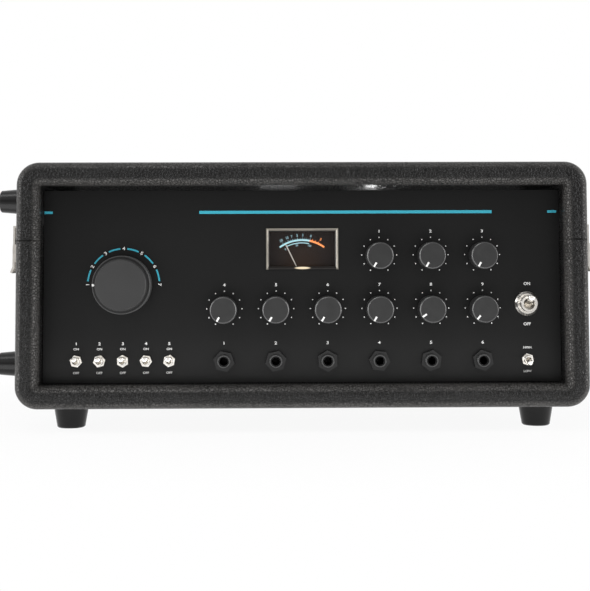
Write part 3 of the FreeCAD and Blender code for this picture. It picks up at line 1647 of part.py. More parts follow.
base_cabinet()
lid_shell()
feet()
front_panel()
small_knobs()
potentiometers()
mode_control()
toggles()
jacks()
level_meter()
chassis_tray()
deck_plate()
rear_panel()
mains_inlet()
handle()
hinges()
latches()
tape_loop()
tape_guides()
tape_heads()
tape_tray()
capstan_drive()
pinch_roller()
circuit_board()
power_transformer()
reverb_tank()
DOCUMENT.recompute()
check_document()
os.makedirs("parts", exist_ok=True)
for node in NODES:
    node.Shape.exportStep(os.path.join("parts", node.Label + ".step"))
    bounds = node.Shape.BoundBox
    print("%-22s %2d solids  x %7.1f %7.1f  y %7.1f %7.1f  z %6.1f %6.1f" % (
        node.Label, len(node.Shape.Solids), bounds.XMin, bounds.XMax, bounds.YMin, bounds.YMax,
        bounds.ZMin, bounds.ZMax))
print(len(NODES), "nodes")
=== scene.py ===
import bmesh
import bpy
import json
import math
from mathutils import Matrix, Vector


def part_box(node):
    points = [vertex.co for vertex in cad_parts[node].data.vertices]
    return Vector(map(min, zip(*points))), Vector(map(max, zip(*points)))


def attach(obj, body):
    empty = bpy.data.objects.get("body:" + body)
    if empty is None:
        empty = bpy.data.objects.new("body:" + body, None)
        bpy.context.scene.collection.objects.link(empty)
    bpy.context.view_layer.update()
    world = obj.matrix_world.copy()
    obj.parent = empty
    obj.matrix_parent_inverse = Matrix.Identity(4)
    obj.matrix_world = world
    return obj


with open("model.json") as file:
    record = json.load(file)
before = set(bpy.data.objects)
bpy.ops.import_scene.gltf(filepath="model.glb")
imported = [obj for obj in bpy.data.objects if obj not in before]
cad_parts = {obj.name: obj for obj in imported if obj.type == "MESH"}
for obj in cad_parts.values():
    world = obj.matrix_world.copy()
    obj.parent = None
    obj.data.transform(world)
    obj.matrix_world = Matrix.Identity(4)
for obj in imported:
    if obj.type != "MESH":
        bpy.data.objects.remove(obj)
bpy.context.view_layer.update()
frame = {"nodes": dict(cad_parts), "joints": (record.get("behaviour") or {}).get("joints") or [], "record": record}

# The case: a tray and a lid of plywood board, covered in black pebble-grained vinyl
# that is glued down and rolled round the board's rounded edges. Its front rims and the
# crowns of its pebbles are painted paler as painted highlight. At the seam it is turned
# over the top of the tray's side walls.

MM = 0.001


class Link:
    """One output in a material's nodes. Arithmetic on it adds Math nodes."""

    def __init__(self, tree, socket):
        self.tree = tree
        self.socket = socket

    def add(self, kind, inputs, output=0, **settings):
        """Add a node with its settings, feed its sockets, and return one of its outputs."""
        node = self.tree.nodes.new("ShaderNode" + kind)
        for name, value in settings.items():
            setattr(node, name, value)
        for name, value in inputs.items():
            if isinstance(value, Link):
                self.tree.links.new(value.socket, node.inputs[name])
            else:
                node.inputs[name].default_value = value
        return Link(self.tree, node.outputs[output])

    def math(self, operation, *values):
        """A Math node with this link first."""
        return self.add("Math", dict(enumerate((self, *values))), operation=operation)

    def swapped(self, operation, first):
        """A Math node with this link second."""
        return self.add("Math", {0: first, 1: self}, operation=operation)

    def __add__(self, other):
        return self.math("ADD", other)

    def __radd__(self, other):
        return self.swapped("ADD", other)

    def __sub__(self, other):
        return self.math("SUBTRACT", other)

    def __rsub__(self, other):
        return self.swapped("SUBTRACT", other)

    def __mul__(self, other):
        return self.math("MULTIPLY", other)

    def __rmul__(self, other):
        return self.swapped("MULTIPLY", other)

    def step(self, low, high):
        """A smooth rise from 0 at low to 1 at high."""
        return self.add("MapRange", {"Value": self, "From Min": low, "From Max": high},
                        interpolation_type="SMOOTHSTEP")

    def mix(self, low, high):
        """The colour between two colours or links, with this link as the factor."""
        ends = [end if isinstance(end, Link) else (*end, 1) for end in (low, high)]
        return self.add("Mix", {0: self, 6: ends[0], 7: ends[1]}, output=2,
                        data_type="RGBA")

    def noise(self, size, detail=2.0, stretch=(1, 1, 1)):
        """Noise whose features are about as large as size, in metres."""
        scaled = self.add("Mapping", {"Vector": self, "Scale": [s / size for s in stretch]})
        return scaled.add("TexNoise", {"Vector": scaled, "Scale": 1.0, "Detail": detail})

    def split(self, axis):
        """One coordinate of a place."""
        return self.add("SeparateXYZ", {0: self}, output="XYZ".index(axis))


def new_finish(name, colour, roughness, **sockets):
    """A material with its plain values on the shader, and the place on the piece."""
    finish = bpy.data.materials.new(name)
    finish.use_nodes = True
    tree = finish.node_tree
    shader = tree.nodes["Principled BSDF"]
    shader.inputs["Base Color"].default_value = (*colour, 1)
    shader.inputs["Roughness"].default_value = roughness
    for socket, value in sockets.items():
        shader.inputs[socket.replace("_", " ")].default_value = value
    coordinates = tree.nodes.new("ShaderNodeTexCoord")
    return finish, Link(tree, coordinates.outputs["Object"])


def feed(finish, height=None, depth=0.0, **links):
    """Link varying values to a material's shader, and a height to its normal."""
    tree = finish.node_tree
    shader = tree.nodes["Principled BSDF"]
    if height is not None:
        bump = height.add("Bump", {"Height": height, "Distance": depth})
        links["Normal"] = bump
    for socket, link in links.items():
        tree.links.new(link.socket, shader.inputs[socket.replace("_", " ")])
    return finish


def dress(finish, *nodes):
    """Give solids of the frame a finish."""
    for node in nodes:
        solid = frame["nodes"][node]
        solid.data.materials.clear()
        solid.data.materials.append(finish)


GRAIN = 2.1 * MM
GRAIN_DRIFT = 1.8 * MM
FRONT_HIGHLIGHT_FROM = 0.2 * MM
FRONT_HIGHLIGHT_TO = 14 * MM

case_low, case_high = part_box("base_cabinet")
vinyl, place = new_finish("pebbled_vinyl", (0.005, 0.005, 0.005), 0.3, Specular_IOR_Level=0.18)
wander = place.noise(2.8 * MM, 1.0)
bent = place.add("VectorMath", {0: place, 1: wander.add(
    "VectorMath", {0: wander.add("CombineXYZ", {0: wander, 1: wander, 2: wander}),
                   "Scale": GRAIN_DRIFT}, operation="SCALE")}, operation="ADD")
cells = bent.add("TexVoronoi", {"Vector": bent, "Scale": 1 / GRAIN},
                 feature="DISTANCE_TO_EDGE")
pebble = cells.step(0.0, 0.2)
fine = place.noise(0.45 * MM, 2.0)
broad = place.noise(45 * MM, 2.0)
seam = (place.split("Z") - case_high.z).math("ABSOLUTE").step(1.2 * MM, 0.5 * MM)
depth = place.split("Y") - case_low.y
# Painted highlight: the front face and rims, up to 14 mm back, are painted paler where the lamps catch them.
painted_front_highlight = depth.step(FRONT_HIGHLIGHT_FROM, 1.5 * MM) * depth.step(FRONT_HIGHLIGHT_TO, 7 * MM)
# Painted highlight: the pebble crowns are painted paler than the grooves, standing for glints on the grain.
feed(vinyl, height=pebble + fine * 0.08, depth=0.36 * MM,
     Base_Color=((pebble * 0.7 + broad * 0.3) * (0.14 + painted_front_highlight * 0.86)).mix(
         (0.0010, 0.0010, 0.0010), (0.072, 0.069, 0.066)),
     Roughness=(0.30 - pebble * 0.10 + fine * 0.05).math("MAXIMUM", seam * 0.9))
dress(vinyl, "base_cabinet", "lid_shell")

SHARP = math.radians(35)


def make_piece(name, bm, finish, body):
    """Turn a bmesh into a piece that rides on a body, smooth but for its sharp edges."""
    bmesh.ops.remove_doubles(bm, verts=bm.verts, dist=1e-7)
    bmesh.ops.recalc_face_normals(bm, faces=bm.faces)
    for face in bm.faces:
        face.smooth = True
    for edge in bm.edges:
        edge.smooth = edge.calc_face_angle(math.pi) < SHARP
    mesh = bpy.data.meshes.new(name)
    bm.to_mesh(mesh)
    bm.free()
    mesh.materials.append(finish)
    piece = bpy.data.objects.new(name, mesh)
    bpy.context.scene.collection.objects.link(piece)
    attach(piece, body)


def add_bar(bm, low, high):
    """A straight-sided bar between two corners."""
    size = Vector(high) - Vector(low)
    middle = (Vector(high) + Vector(low)) / 2
    bmesh.ops.create_cube(bm, size=1.0, matrix=Matrix.Translation(middle)
                          @ Matrix.Diagonal((*size, 1)))


BOARD = 17.5 * MM
EDGE_ROUND = 7.75 * MM
INSET = 0.35 * MM
TURNING_SUNK = 0.1 * MM
TURNING_TALL = 0.4 * MM

bm = bmesh.new()
for side, outside in ((1, case_low.x), (-1, case_high.x)):
    edges = sorted((outside + side * INSET, outside + side * (BOARD - INSET)))
    add_bar(bm, (edges[0], case_low.y + INSET, case_high.z - TURNING_SUNK),
            (edges[1], case_high.y - INSET, case_high.z + TURNING_TALL))
front = [edge for edge in bm.edges if all(vert.co.y < case_low.y + MM for vert in edge.verts)
         and edge.verts[0].co.x == edge.verts[1].co.x]
bmesh.ops.bevel(bm, geom=front, offset=EDGE_ROUND - INSET, segments=8, profile=0.5,
                affect="EDGES", material=-1)
make_piece("seam_turnings", bm, vinyl, "base")

# The feet: moulded black rubber cones, four under the tray and four on the left side
# so that the shut case can stand on its end. Each is held by a screw in its recess.

rubber, place = new_finish("moulded_rubber", (0.006, 0.006, 0.006), 0.3,
                           Specular_IOR_Level=0.28)
fine = place.noise(0.5 * MM, 3.0)
broad = place.noise(12 * MM, 2.0)
feed(rubber, height=fine, depth=0.05 * MM, Base_Color=broad.mix((0.004, 0.004, 0.004),
     (0.008, 0.0075, 0.0075)), Roughness=0.16 + broad * 0.10)
dress(rubber, "bottom_feet", "base_side_feet", "lid_side_feet")

steel, place = new_finish("plated_steel", (0.55, 0.55, 0.54), 0.35, Metallic=1.0)
fine = place.noise(0.4 * MM, 3.0)
broad = place.noise(9 * MM, 3.0)
feed(steel, height=fine, depth=0.01 * MM, Base_Color=broad.mix((0.42, 0.41, 0.39),
     (0.62, 0.61, 0.59)), Roughness=0.25 + broad * 0.2)


def facing(at, outward):
    """The matrix that puts +Z along outward, at a place."""
    return Matrix.Translation(at) @ Vector(outward).to_track_quat("Z", "Y").to_matrix().to_4x4()


def turn_profile(bm, corners, matrix, steps=32):
    """Spin an outline of (radius, height) corners about the axis of a matrix."""
    verts = [bm.verts.new((radius, 0, height)) for radius, height in corners]
    edges = [bm.edges.new(pair) for pair in zip(verts, verts[1:])]
    if corners[0][0] > 0:
        edges.append(bm.edges.new((verts[-1], verts[0])))
    before = set(bm.verts) - set(verts)
    bmesh.ops.spin(bm, geom=verts + edges, axis=(0, 0, 1), angle=math.tau, steps=steps,
                   use_merge=True)
    made = [vert for vert in bm.verts if vert not in before]
    bmesh.ops.remove_doubles(bm, verts=made, dist=1e-7)
    made = [vert for vert in bm.verts if vert not in before]
    bmesh.ops.transform(bm, matrix=matrix, verts=made)


def add_screw(bm, at, outward, radius):
    """A domed screw head with a cross recess, its seat at a place."""
    matrix = facing(at, outward)
    sides = 24
    arm, slot = radius * 0.5, radius * 0.13
    before = set(bm.verts)
    rim = bmesh.ops.create_circle(bm, segments=sides, radius=radius, matrix=matrix)["verts"]
    start = [edge for edge in bm.edges if edge.verts[0] in rim and edge.verts[1] in rim]
    axis = matrix.to_3x3() @ Vector((0, 0, 1))
    for lift, share in ((0.35, 1.0), (0.25, 0.86), (0.1, 0.62)):
        grown = bmesh.ops.extrude_edge_only(bm, edges=start)["geom"]
        start = [part for part in grown if isinstance(part, bmesh.types.BMEdge)]
        ring = [part for part in grown if isinstance(part, bmesh.types.BMVert)]
        bmesh.ops.translate(bm, verts=ring, vec=axis * lift * radius)
        middle = sum((vert.co for vert in ring), Vector()) / sides
        size = radius * share / (ring[0].co - middle).length
        bmesh.ops.scale(bm, verts=ring, vec=(size,) * 3, space=Matrix.Translation(-middle))
    cross = bmesh.ops.extrude_edge_only(bm, edges=start)["geom"]
    ring = [part for part in cross if isinstance(part, bmesh.types.BMVert)]
    for vert in ring:
        local = matrix.inverted() @ vert.co
        across, up = abs(local.x), abs(local.y)
        long_way = arm if max(across, up) > arm else slot
        wide, tall = (long_way, min(up, slot)) if across > up else (min(across, slot), long_way)
        local.x = math.copysign(wide, local.x)
        local.y = math.copysign(tall, local.y)
        vert.co = matrix @ local
    edges = [part for part in cross if isinstance(part, bmesh.types.BMEdge)]
    sunk = bmesh.ops.extrude_edge_only(bm, edges=edges)["geom"]
    floor = [part for part in sunk if isinstance(part, bmesh.types.BMVert)]
    bmesh.ops.translate(bm, verts=floor, vec=-axis * 0.4 * radius)
    made = [edge for edge in bm.edges if edge.is_boundary and edge.verts[0] not in before]
    bmesh.ops.holes_fill(bm, edges=made, sides=0)


FOOT_SCREW = 3.3 * MM
FOOT_RECESS = 7.0 * MM
FOOT_BASE = 13.8 * MM


def foot_screws(name, node, outward, body):
    """A screw in the recess of each foot of a node."""
    low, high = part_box(node)
    outward = Vector(outward)
    inset = FOOT_BASE if outward.z else (high.z - low.z) / 2
    bm = bmesh.new()
    for depth in (low.y + inset, high.y - inset):
        if outward.z:
            for across in (low.x + inset, high.x - inset):
                add_screw(bm, (across, depth, low.z + FOOT_RECESS), outward, FOOT_SCREW)
        else:
            height = (low.z + high.z) / 2
            add_screw(bm, (low.x + FOOT_RECESS, depth, height), outward, FOOT_SCREW)
    make_piece(name, bm, steel, body)


foot_screws("bottom_foot_screws", "bottom_feet", (0, 0, -1), "base")
foot_screws("tray_side_foot_screws", "base_side_feet", (-1, 0, 0), "base")
foot_screws("lid_side_foot_screws", "lid_side_feet", (-1, 0, 0), "lid")

# The control panel: a pressed steel plate in satin black, painted paler low down as
# painted light from the floor, and screen-printed in white and blue. A blue line crosses it
# below the top edge, and a scale of seven steps runs round the mode knob.

FLOOR_LIGHT_FROM = 78 * MM
FLOOR_LIGHT_TO = 34 * MM

paint, place = new_finish("panel_black", (0.005, 0.005, 0.005), 0.45, Specular_IOR_Level=0.17)
fine = place.noise(0.28 * MM, 2.0)
broad = place.noise(70 * MM, 2.0)
# Painted light: the plate is painted paler towards its bottom for the floor's light on it.
painted_floor_light = place.split("Z").step(FLOOR_LIGHT_FROM, FLOOR_LIGHT_TO)
feed(paint, height=fine, depth=0.025 * MM, Base_Color=(broad * 0.2 + painted_floor_light * 0.8).mix(
     (0.0035, 0.0035, 0.0035), (0.0135, 0.0135, 0.0133)),
     Roughness=0.40 + fine * 0.08 + broad * 0.06)
dress(paint, "front_panel")

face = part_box("front_panel")[0].y
underside = case_low.z
INK = 0.04 * MM
FORWARD = (0, -1, 0)


def new_ink(name, thin, full):
    """Screen-printing ink, a little thinner in places."""
    ink, place = new_finish(name, full, 0.5)
    cover = place.noise(0.5 * MM, 3.0).step(0.25, 0.5)
    return feed(ink, height=cover, depth=0.01 * MM, Base_Color=cover.mix(thin, full),
                Roughness=0.6 - cover * 0.12)


white_ink = new_ink("white_ink", (0.5, 0.5, 0.49), (0.78, 0.78, 0.77))
blue_ink = new_ink("blue_ink", (0.024, 0.28, 0.37), (0.034, 0.38, 0.50))


def add_letters(bm, text, across, height, tall, turn=0.0, spread=1.25, depth=None):
    """Flat letters on the panel, centred on a place and tall as its capitals."""
    curve = bpy.data.curves.new("letters", "FONT")
    curve.body = text
    curve.align_x = "CENTER"
    curve.align_y = "CENTER"
    curve.size = tall / 0.7
    curve.offset = tall * 0.035
    curve.extrude = INK / 2
    curve.resolution_u = 3
    sign = bpy.data.objects.new("letters", curve)
    bpy.context.scene.collection.objects.link(sign)
    mesh = bpy.data.meshes.new_from_object(sign.evaluated_get(
        bpy.context.evaluated_depsgraph_get()))
    at = Vector((across, face if depth is None else depth, height))
    mesh.transform(Matrix.Translation(at) @ Matrix.Rotation(-turn, 4, "Y")
                   @ Matrix.Rotation(math.pi / 2, 4, "X") @ Matrix.Diagonal((spread, 1, 1, 1)))
    bm.from_mesh(mesh)
    bpy.data.objects.remove(sign)
    bpy.data.meshes.remove(mesh)
    bpy.data.curves.remove(curve)


def add_dot(bm, across, height, radius):
    """A printed dot on the panel."""
    bmesh.ops.create_cone(bm, cap_ends=True, segments=16, radius1=radius, radius2=radius,
                          depth=INK, matrix=facing((across, face, height), FORWARD))


def add_arc(bm, centre, radius, width, start, end):
    """A printed arc round a centre, with its angles clockwise from the top."""
    half = width / 2
    corners = [(radius - half, -INK / 2), (radius + half, -INK / 2),
               (radius + half, INK / 2), (radius - half, INK / 2)]
    verts = [bm.verts.new((0, y, r)) for r, y in corners]
    edges = [bm.edges.new((verts[i], verts[(i + 1) % 4])) for i in range(4)]
    before = set(bm.verts) - set(verts)
    steps = max(2, round((end - start) / math.radians(3)))
    bmesh.ops.spin(bm, geom=verts + edges, axis=(0, 1, 0), angle=end - start, steps=steps)
    made = [vert for vert in bm.verts if vert not in before]
    ends = [edge for edge in bm.edges if edge.is_boundary and edge.verts[0] in made]
    bmesh.ops.holes_fill(bm, edges=ends, sides=4)
    bmesh.ops.transform(bm, matrix=Matrix.Translation(centre) @ Matrix.Rotation(start, 4, "Y"),
                        verts=made)


joints = {joint["name"]: joint for joint in frame["joints"]}
mounts = {mount["name"]: mount for mount in frame["record"]["mounts"]}


def centre_of(joint):
    """Where a control's axis meets the panel."""
    at = Vector(joints[joint]["pos_m"])
    return Vector((at.x, face, at.z))


KNOBS = ("bass", "treble", "feedback", "input_volume", "chorus_rate", "chorus_depth",
         "reverb_volume", "speed", "echo_volume")
TOGGLES = ("direct", "motor", "layering", "echo", "chorus", "output_level")
JACKS = ["jack_%d" % number for number in range(1, 7)]
DOT_RING = 13.45 * MM
DOT = 0.47 * MM
RING_SHIFT = Vector((0.3, 0, 0.55)) * MM
MODE_SHIFT = Vector((0.3, 0, 0.1)) * MM
MODE_RING = 27.4 * MM
MODE_LINE = 1.2 * MM
MODE_STEP = math.radians(30)
MODE_GAP = math.radians(5.5)
MODE_CAPS = 2.4 * MM
SMALL_CAPS = 2.15 * MM
WORD_CAPS = 1.6 * MM
WORD_RISE = 9.0 * MM
WORD_SPREAD = 1.15
POWER_CAPS = 2.2 * MM
POWER_SPREAD = 1.02
KNOB_NUMBER_RISE = 18.1 * MM
TOGGLE_NUMBER_RISE = 13.0 * MM
JACK_NUMBER_RISE = 13.6 * MM
BLUE_LINES = ((-197.6, -191.2, 1.9), (-79.1, 145.9, 2.3), (188.9, 195.8, 1.9))
LINE_HEIGHT = 147.6 * MM

white = bmesh.new()
for number, knob in enumerate(KNOBS, 1):
    centre = centre_of(knob + "_turn") + RING_SHIFT
    for count in range(11):
        angle = math.radians(-150 + 30 * count)
        add_dot(white, centre.x + DOT_RING * math.sin(angle),
                centre.z + DOT_RING * math.cos(angle), DOT)
    add_letters(white, str(number), centre.x, centre.z + KNOB_NUMBER_RISE, SMALL_CAPS)
mode_centre = centre_of("mode_turn")
mode_print = mode_centre + MODE_SHIFT
for count in range(7):
    angle = MODE_STEP * (count - 3)
    add_letters(white, str(count + 1), mode_print.x + MODE_RING * math.sin(angle),
                mode_print.z + MODE_RING * math.cos(angle), MODE_CAPS, -angle)
for number, toggle in enumerate(TOGGLES, 1):
    centre = centre_of(toggle + "_switch")
    words = ("HIGH", "LOW") if toggle == "output_level" else ("ON", "OFF")
    for word, rise in zip(words, (WORD_RISE, -WORD_RISE)):
        add_letters(white, word, centre.x, centre.z + rise, WORD_CAPS, spread=WORD_SPREAD)
    if toggle != "output_level":
        add_letters(white, str(number), centre.x, centre.z + TOGGLE_NUMBER_RISE, SMALL_CAPS)
centre = centre_of("power_switch")
for word, shift, rise in (("ON", 0.4, 15.1), ("OFF", 0.2, -15.7)):
    add_letters(white, word, centre.x + shift * MM, centre.z + rise * MM, POWER_CAPS,
                spread=POWER_SPREAD)
for number, jack in enumerate(JACKS, 1):
    centre = Vector(mounts[jack]["pos_m"])
    add_letters(white, str(number), centre.x, centre.z + JACK_NUMBER_RISE, SMALL_CAPS)
make_piece("white_print", white, white_ink, "base")

blue = bmesh.new()
for left, right, thick in BLUE_LINES:
    middle = underside + LINE_HEIGHT
    add_bar(blue, (left * MM, face - INK / 2, middle - thick * MM / 2),
            (right * MM, face + INK / 2, middle + thick * MM / 2))
for count in range(6):
    start = MODE_STEP * (count - 3) + MODE_GAP
    add_arc(blue, mode_print, MODE_RING, MODE_LINE, start, start + MODE_STEP - 2 * MODE_GAP)
make_piece("blue_print", blue, blue_ink, "base")

# The small knobs: nine moulded black plastic knobs with fine ribs round the side, a
# polished cut edge painted paler as a painted highlight, and a white line inlaid in the
# top. Each is pushed on the shaft of the control behind the panel.

plastic, place = new_finish("knob_black", (0.024, 0.024, 0.024), 0.42, Specular_IOR_Level=0.25)
fine = place.noise(0.3 * MM, 3.0)
broad = place.noise(6 * MM, 2.0)
feed(plastic, height=fine, depth=0.012 * MM, Base_Color=broad.mix((0.019, 0.019, 0.019),
     (0.028, 0.028, 0.028)), Roughness=0.38 + broad * 0.12)
for knob in KNOBS:
    dress(plastic, knob + "_knob")

# Painted highlight: the glossy cut edge is painted paler than the plastic, for the light it catches.
edge_painted_highlight, place = new_finish("edge_painted_highlight", (0.05, 0.05, 0.05), 0.25)
fine = place.noise(0.4 * MM, 3.0)
feed(edge_painted_highlight, height=fine, depth=0.005 * MM, Base_Color=fine.mix((0.040, 0.040, 0.040),
     (0.062, 0.062, 0.062)), Roughness=0.22 + fine * 0.1)

inlay, place = new_finish("white_inlay", (0.8, 0.8, 0.78), 0.45)
fine = place.noise(0.4 * MM, 3.0)
feed(inlay, height=fine, depth=0.01 * MM, Base_Color=fine.mix((0.68, 0.68, 0.66),
     (0.85, 0.85, 0.84)))

RIB_COUNT = 60
RIB_DEPTH = 0.22 * MM


def add_ribs(bm, centre, radius, hollow, low, high):
    """A ribbed sleeve round a knob, between two heights over the panel."""
    sides = RIB_COUNT * 4
    matrix = facing(centre - Vector((0, low, 0)), FORWARD)
    before = set(bm.verts)
    outer = bmesh.ops.create_circle(bm, segments=sides, radius=radius)["verts"]
    rim = [edge for edge in bm.edges if edge.verts[0] in outer and edge.verts[1] in outer]
    for number, vert in enumerate(outer):
        if number % 4 in (2, 3):
            vert.co *= 1 - RIB_DEPTH / radius
    grown = bmesh.ops.extrude_edge_only(bm, edges=rim)["geom"]
    inner = [part for part in grown if isinstance(part, bmesh.types.BMVert)]
    for vert in inner:
        vert.co *= hollow / vert.co.length
    faces = [part for part in grown if isinstance(part, bmesh.types.BMFace)]
    raised = bmesh.ops.extrude_face_region(bm, geom=faces)["geom"]
    top = [part for part in raised if isinstance(part, bmesh.types.BMVert)]
    bmesh.ops.translate(bm, verts=top, vec=(0, 0, high - low))
    made = [vert for vert in bm.verts if vert not in before]
    bmesh.ops.transform(bm, matrix=matrix, verts=made)


def add_pointer(bm, centre, angle, outline, width):
    """A line inlaid in a knob's top, from an outline of (reach, height) corners."""
    half = width / 2
    verts = [bm.verts.new((-half, -height, reach)) for reach, height in outline]
    before = set(bm.verts) - set(verts)
    side = bm.faces.new(verts)
    grown = bmesh.ops.extrude_face_region(bm, geom=[side])["geom"]
    moved = [part for part in grown if isinstance(part, bmesh.types.BMVert)]
    bmesh.ops.translate(bm, verts=moved, vec=(width, 0, 0))
    made = [vert for vert in bm.verts if vert not in before]
    bmesh.ops.transform(bm, verts=made, matrix=Matrix.Translation(centre)
                        @ Matrix.Rotation(math.radians(angle), 4, "Y"))


RESTS = {"speed": -125, "echo_volume": -140}
REST = -150
RIBS_RADIUS = 10.42 * MM
RIBS_HOLLOW = 9.7 * MM
RIBS_LOW = 1.6 * MM
RIBS_HIGH = 13.2 * MM
POINTER = [(6.05 * MM, 14.62 * MM), (6.05 * MM, 15.03 * MM), (9.3 * MM, 15.03 * MM),
           (9.72 * MM, 14.62 * MM)]
POINTER_WIDE = 1.36 * MM
CUT_EDGE = [(9.28 * MM, 14.9 * MM), (9.28 * MM, 15.01 * MM), (9.33 * MM, 14.99 * MM),
            (9.99 * MM, 14.33 * MM), (10.01 * MM, 14.2 * MM), (9.9 * MM, 14.2 * MM)]

for knob in KNOBS:
    centre = centre_of(knob + "_turn")
    bm = bmesh.new()
    add_ribs(bm, centre, RIBS_RADIUS, RIBS_HOLLOW, RIBS_LOW, RIBS_HIGH)
    make_piece(knob + "_knob_ribs", bm, plastic, knob)
    bm = bmesh.new()
    add_pointer(bm, centre, RESTS.get(knob, REST), POINTER, POINTER_WIDE)
    make_piece(knob + "_knob_line", bm, inlay, knob)
    bm = bmesh.new()
    turn_profile(bm, CUT_EDGE, facing(centre, FORWARD), 64)
    make_piece(knob + "_knob_edge", bm, edge_painted_highlight, knob)

# The mode knob: a wide flanged knob of the same plastic, ribbed round the side. Its
# matt face stands up inside a dark ring of painted shadow and a pale ring of painted
# highlight, and a white dot is set in the flange.

FACE_EDGE = 19.7 * MM
RIM_EDGE = 21.5 * MM
EDGE_BLUR = 0.4 * MM

face_plastic, place = new_finish("mode_knob_black", (0.028, 0.028, 0.028), 0.5,
                                 Specular_IOR_Level=0.27)
fine = place.noise(0.25 * MM, 3.0)
broad = place.noise(25 * MM, 2.0)
reach = ((place.split("X") - mode_centre.x).math("POWER", 2.0)
         + (place.split("Z") - mode_centre.z).math("POWER", 2.0)).math("SQRT")
# Painted light: a dark ring of painted shadow round the face's edge, and a pale ring of painted highlight on the
# rim.
painted_edge_shadow = reach.step(FACE_EDGE, FACE_EDGE + EDGE_BLUR) * reach.step(RIM_EDGE, RIM_EDGE - EDGE_BLUR)
rim = reach.step(RIM_EDGE - EDGE_BLUR / 2, RIM_EDGE + EDGE_BLUR / 2)
tone_and_painted_light = 0.40 + broad * 0.16 - painted_edge_shadow * 0.36 + rim * 0.40
feed(face_plastic, height=fine, depth=0.015 * MM, Base_Color=tone_and_painted_light.mix(
     (0.003, 0.003, 0.003), (0.058, 0.058, 0.058)), Roughness=0.42 + broad * 0.14)
dress(face_plastic, "mode_knob")

MODE_RIBS_RADIUS = 22.12 * MM
MODE_RIBS_HOLLOW = 21.0 * MM
MODE_RIBS_LOW = 1.8 * MM
MODE_RIBS_HIGH = 11.2 * MM
MODE_DOT = [(0, 0.22 * MM), (0.75 * MM, 0.16 * MM), (1.0 * MM, 0), (1.0 * MM, -0.2 * MM),
            (0, -0.2 * MM)]
MODE_DOT_SHIFT = Vector((-21.1, -12.75, 0)) * MM

bm = bmesh.new()
add_ribs(bm, mode_centre, MODE_RIBS_RADIUS, MODE_RIBS_HOLLOW, MODE_RIBS_LOW, MODE_RIBS_HIGH)
make_piece("mode_knob_ribs", bm, plastic, "mode")
bm = bmesh.new()
turn_profile(bm, MODE_DOT, facing(mode_centre + MODE_DOT_SHIFT, FORWARD), 20)
make_piece("mode_knob_dot", bm, inlay, "mode")

# The toggle switches: bright nickel bats in threaded bushings, each held to the panel
# by a hexagon nut, and the power switch by a round dressed nut. The threads show above
# the nuts.

nickel, place = new_finish("bright_nickel", (0.84, 0.81, 0.76), 0.18, Metallic=1.0)
fine = place.noise(0.3 * MM, 3.0)
broad = place.noise(5 * MM, 3.0)
feed(nickel, height=fine, depth=0.006 * MM, Base_Color=broad.mix((0.78, 0.74, 0.68),
     (0.90, 0.88, 0.84)), Roughness=0.22 + broad * 0.14)
for toggle in (*TOGGLES, "power"):
    dress(nickel, toggle + "_toggle")
dress(nickel, "toggle_switches", "toggle_nuts")


def add_thread(bm, centre, radius, low, high, pitch):
    """Thread crests round a bushing, between two heights over the panel."""
    count = int((high - low) / pitch)
    core = radius - 0.15 * MM
    outline = [(core, low)]
    for turn in range(count):
        start = low + turn * pitch
        outline.append((radius, start + 0.06 * pitch))
        outline.append((radius + 0.32 * pitch, start + 0.5 * pitch))
        outline.append((radius, start + 0.94 * pitch))
    outline.append((core, low + count * pitch))
    turn_profile(bm, outline, facing(centre, FORWARD), 40)


# Each thread: its radius, its two heights over the panel and its pitch.
SMALL_THREAD = (2.98 * MM, 1.9 * MM, 5.3 * MM, 0.55 * MM)
POWER_THREAD = (5.85 * MM, 3.5 * MM, 9.4 * MM, 0.8 * MM)

bm = bmesh.new()
for toggle in TOGGLES:
    add_thread(bm, centre_of(toggle + "_switch"), *SMALL_THREAD)
add_thread(bm, centre_of("power_switch"), *POWER_THREAD)
make_piece("toggle_threads", bm, nickel, "base")

# The jack sockets: black moulded bushings, threaded for hexagon nuts of black plastic.
# The bushing's rim is rounded and polished by plugs, its paler colour a painted highlight,
# and its mouth is dull and painted near black as painted shade.

socket_black, place = new_finish("socket_black", (0.02, 0.02, 0.021), 0.38)
fine = place.noise(0.3 * MM, 3.0)
feed(socket_black, height=fine, depth=0.015 * MM, Base_Color=fine.mix((0.011, 0.011, 0.012),
     (0.026, 0.026, 0.027)), Roughness=0.32 + fine * 0.2)
dress(socket_black, "jack_sockets", "mains_inlet")

nut_black, place = new_finish("nut_black", (0.007, 0.007, 0.007), 0.42, Specular_IOR_Level=0.35)
fine = place.noise(0.4 * MM, 3.0)
feed(nut_black, height=fine, depth=0.015 * MM, Base_Color=fine.mix((0.004, 0.004, 0.004),
     (0.012, 0.012, 0.012)), Roughness=0.36 + fine * 0.16)
dress(nut_black, "jack_nuts")

# Painted shade: the socket's mouth is painted near black for the shade inside the hole.
mouth_painted_shade, place = new_finish("mouth_painted_shade", (0.003, 0.003, 0.003), 0.8,
                                Specular_IOR_Level=0.1)
fine = place.noise(0.3 * MM, 3.0)
feed(mouth_painted_shade, height=fine, depth=0.02 * MM, Base_Color=fine.mix((0.002, 0.002, 0.002),
     (0.005, 0.005, 0.005)))

RIM = [(3.85 * MM, 4.5 * MM), (4.85 * MM, 4.5 * MM), (4.9 * MM, 4.8 * MM),
       (4.65 * MM, 5.1 * MM), (3.95 * MM, 5.1 * MM)]
MOUTH = [(3.25 * MM, 4.5 * MM), (3.84 * MM, 4.5 * MM), (3.94 * MM, 5.08 * MM),
         (3.8 * MM, 5.08 * MM), (3.3 * MM, 4.7 * MM)]
JACK_THREAD = (4.88 * MM, 2.7 * MM, 4.5 * MM, 0.6 * MM)

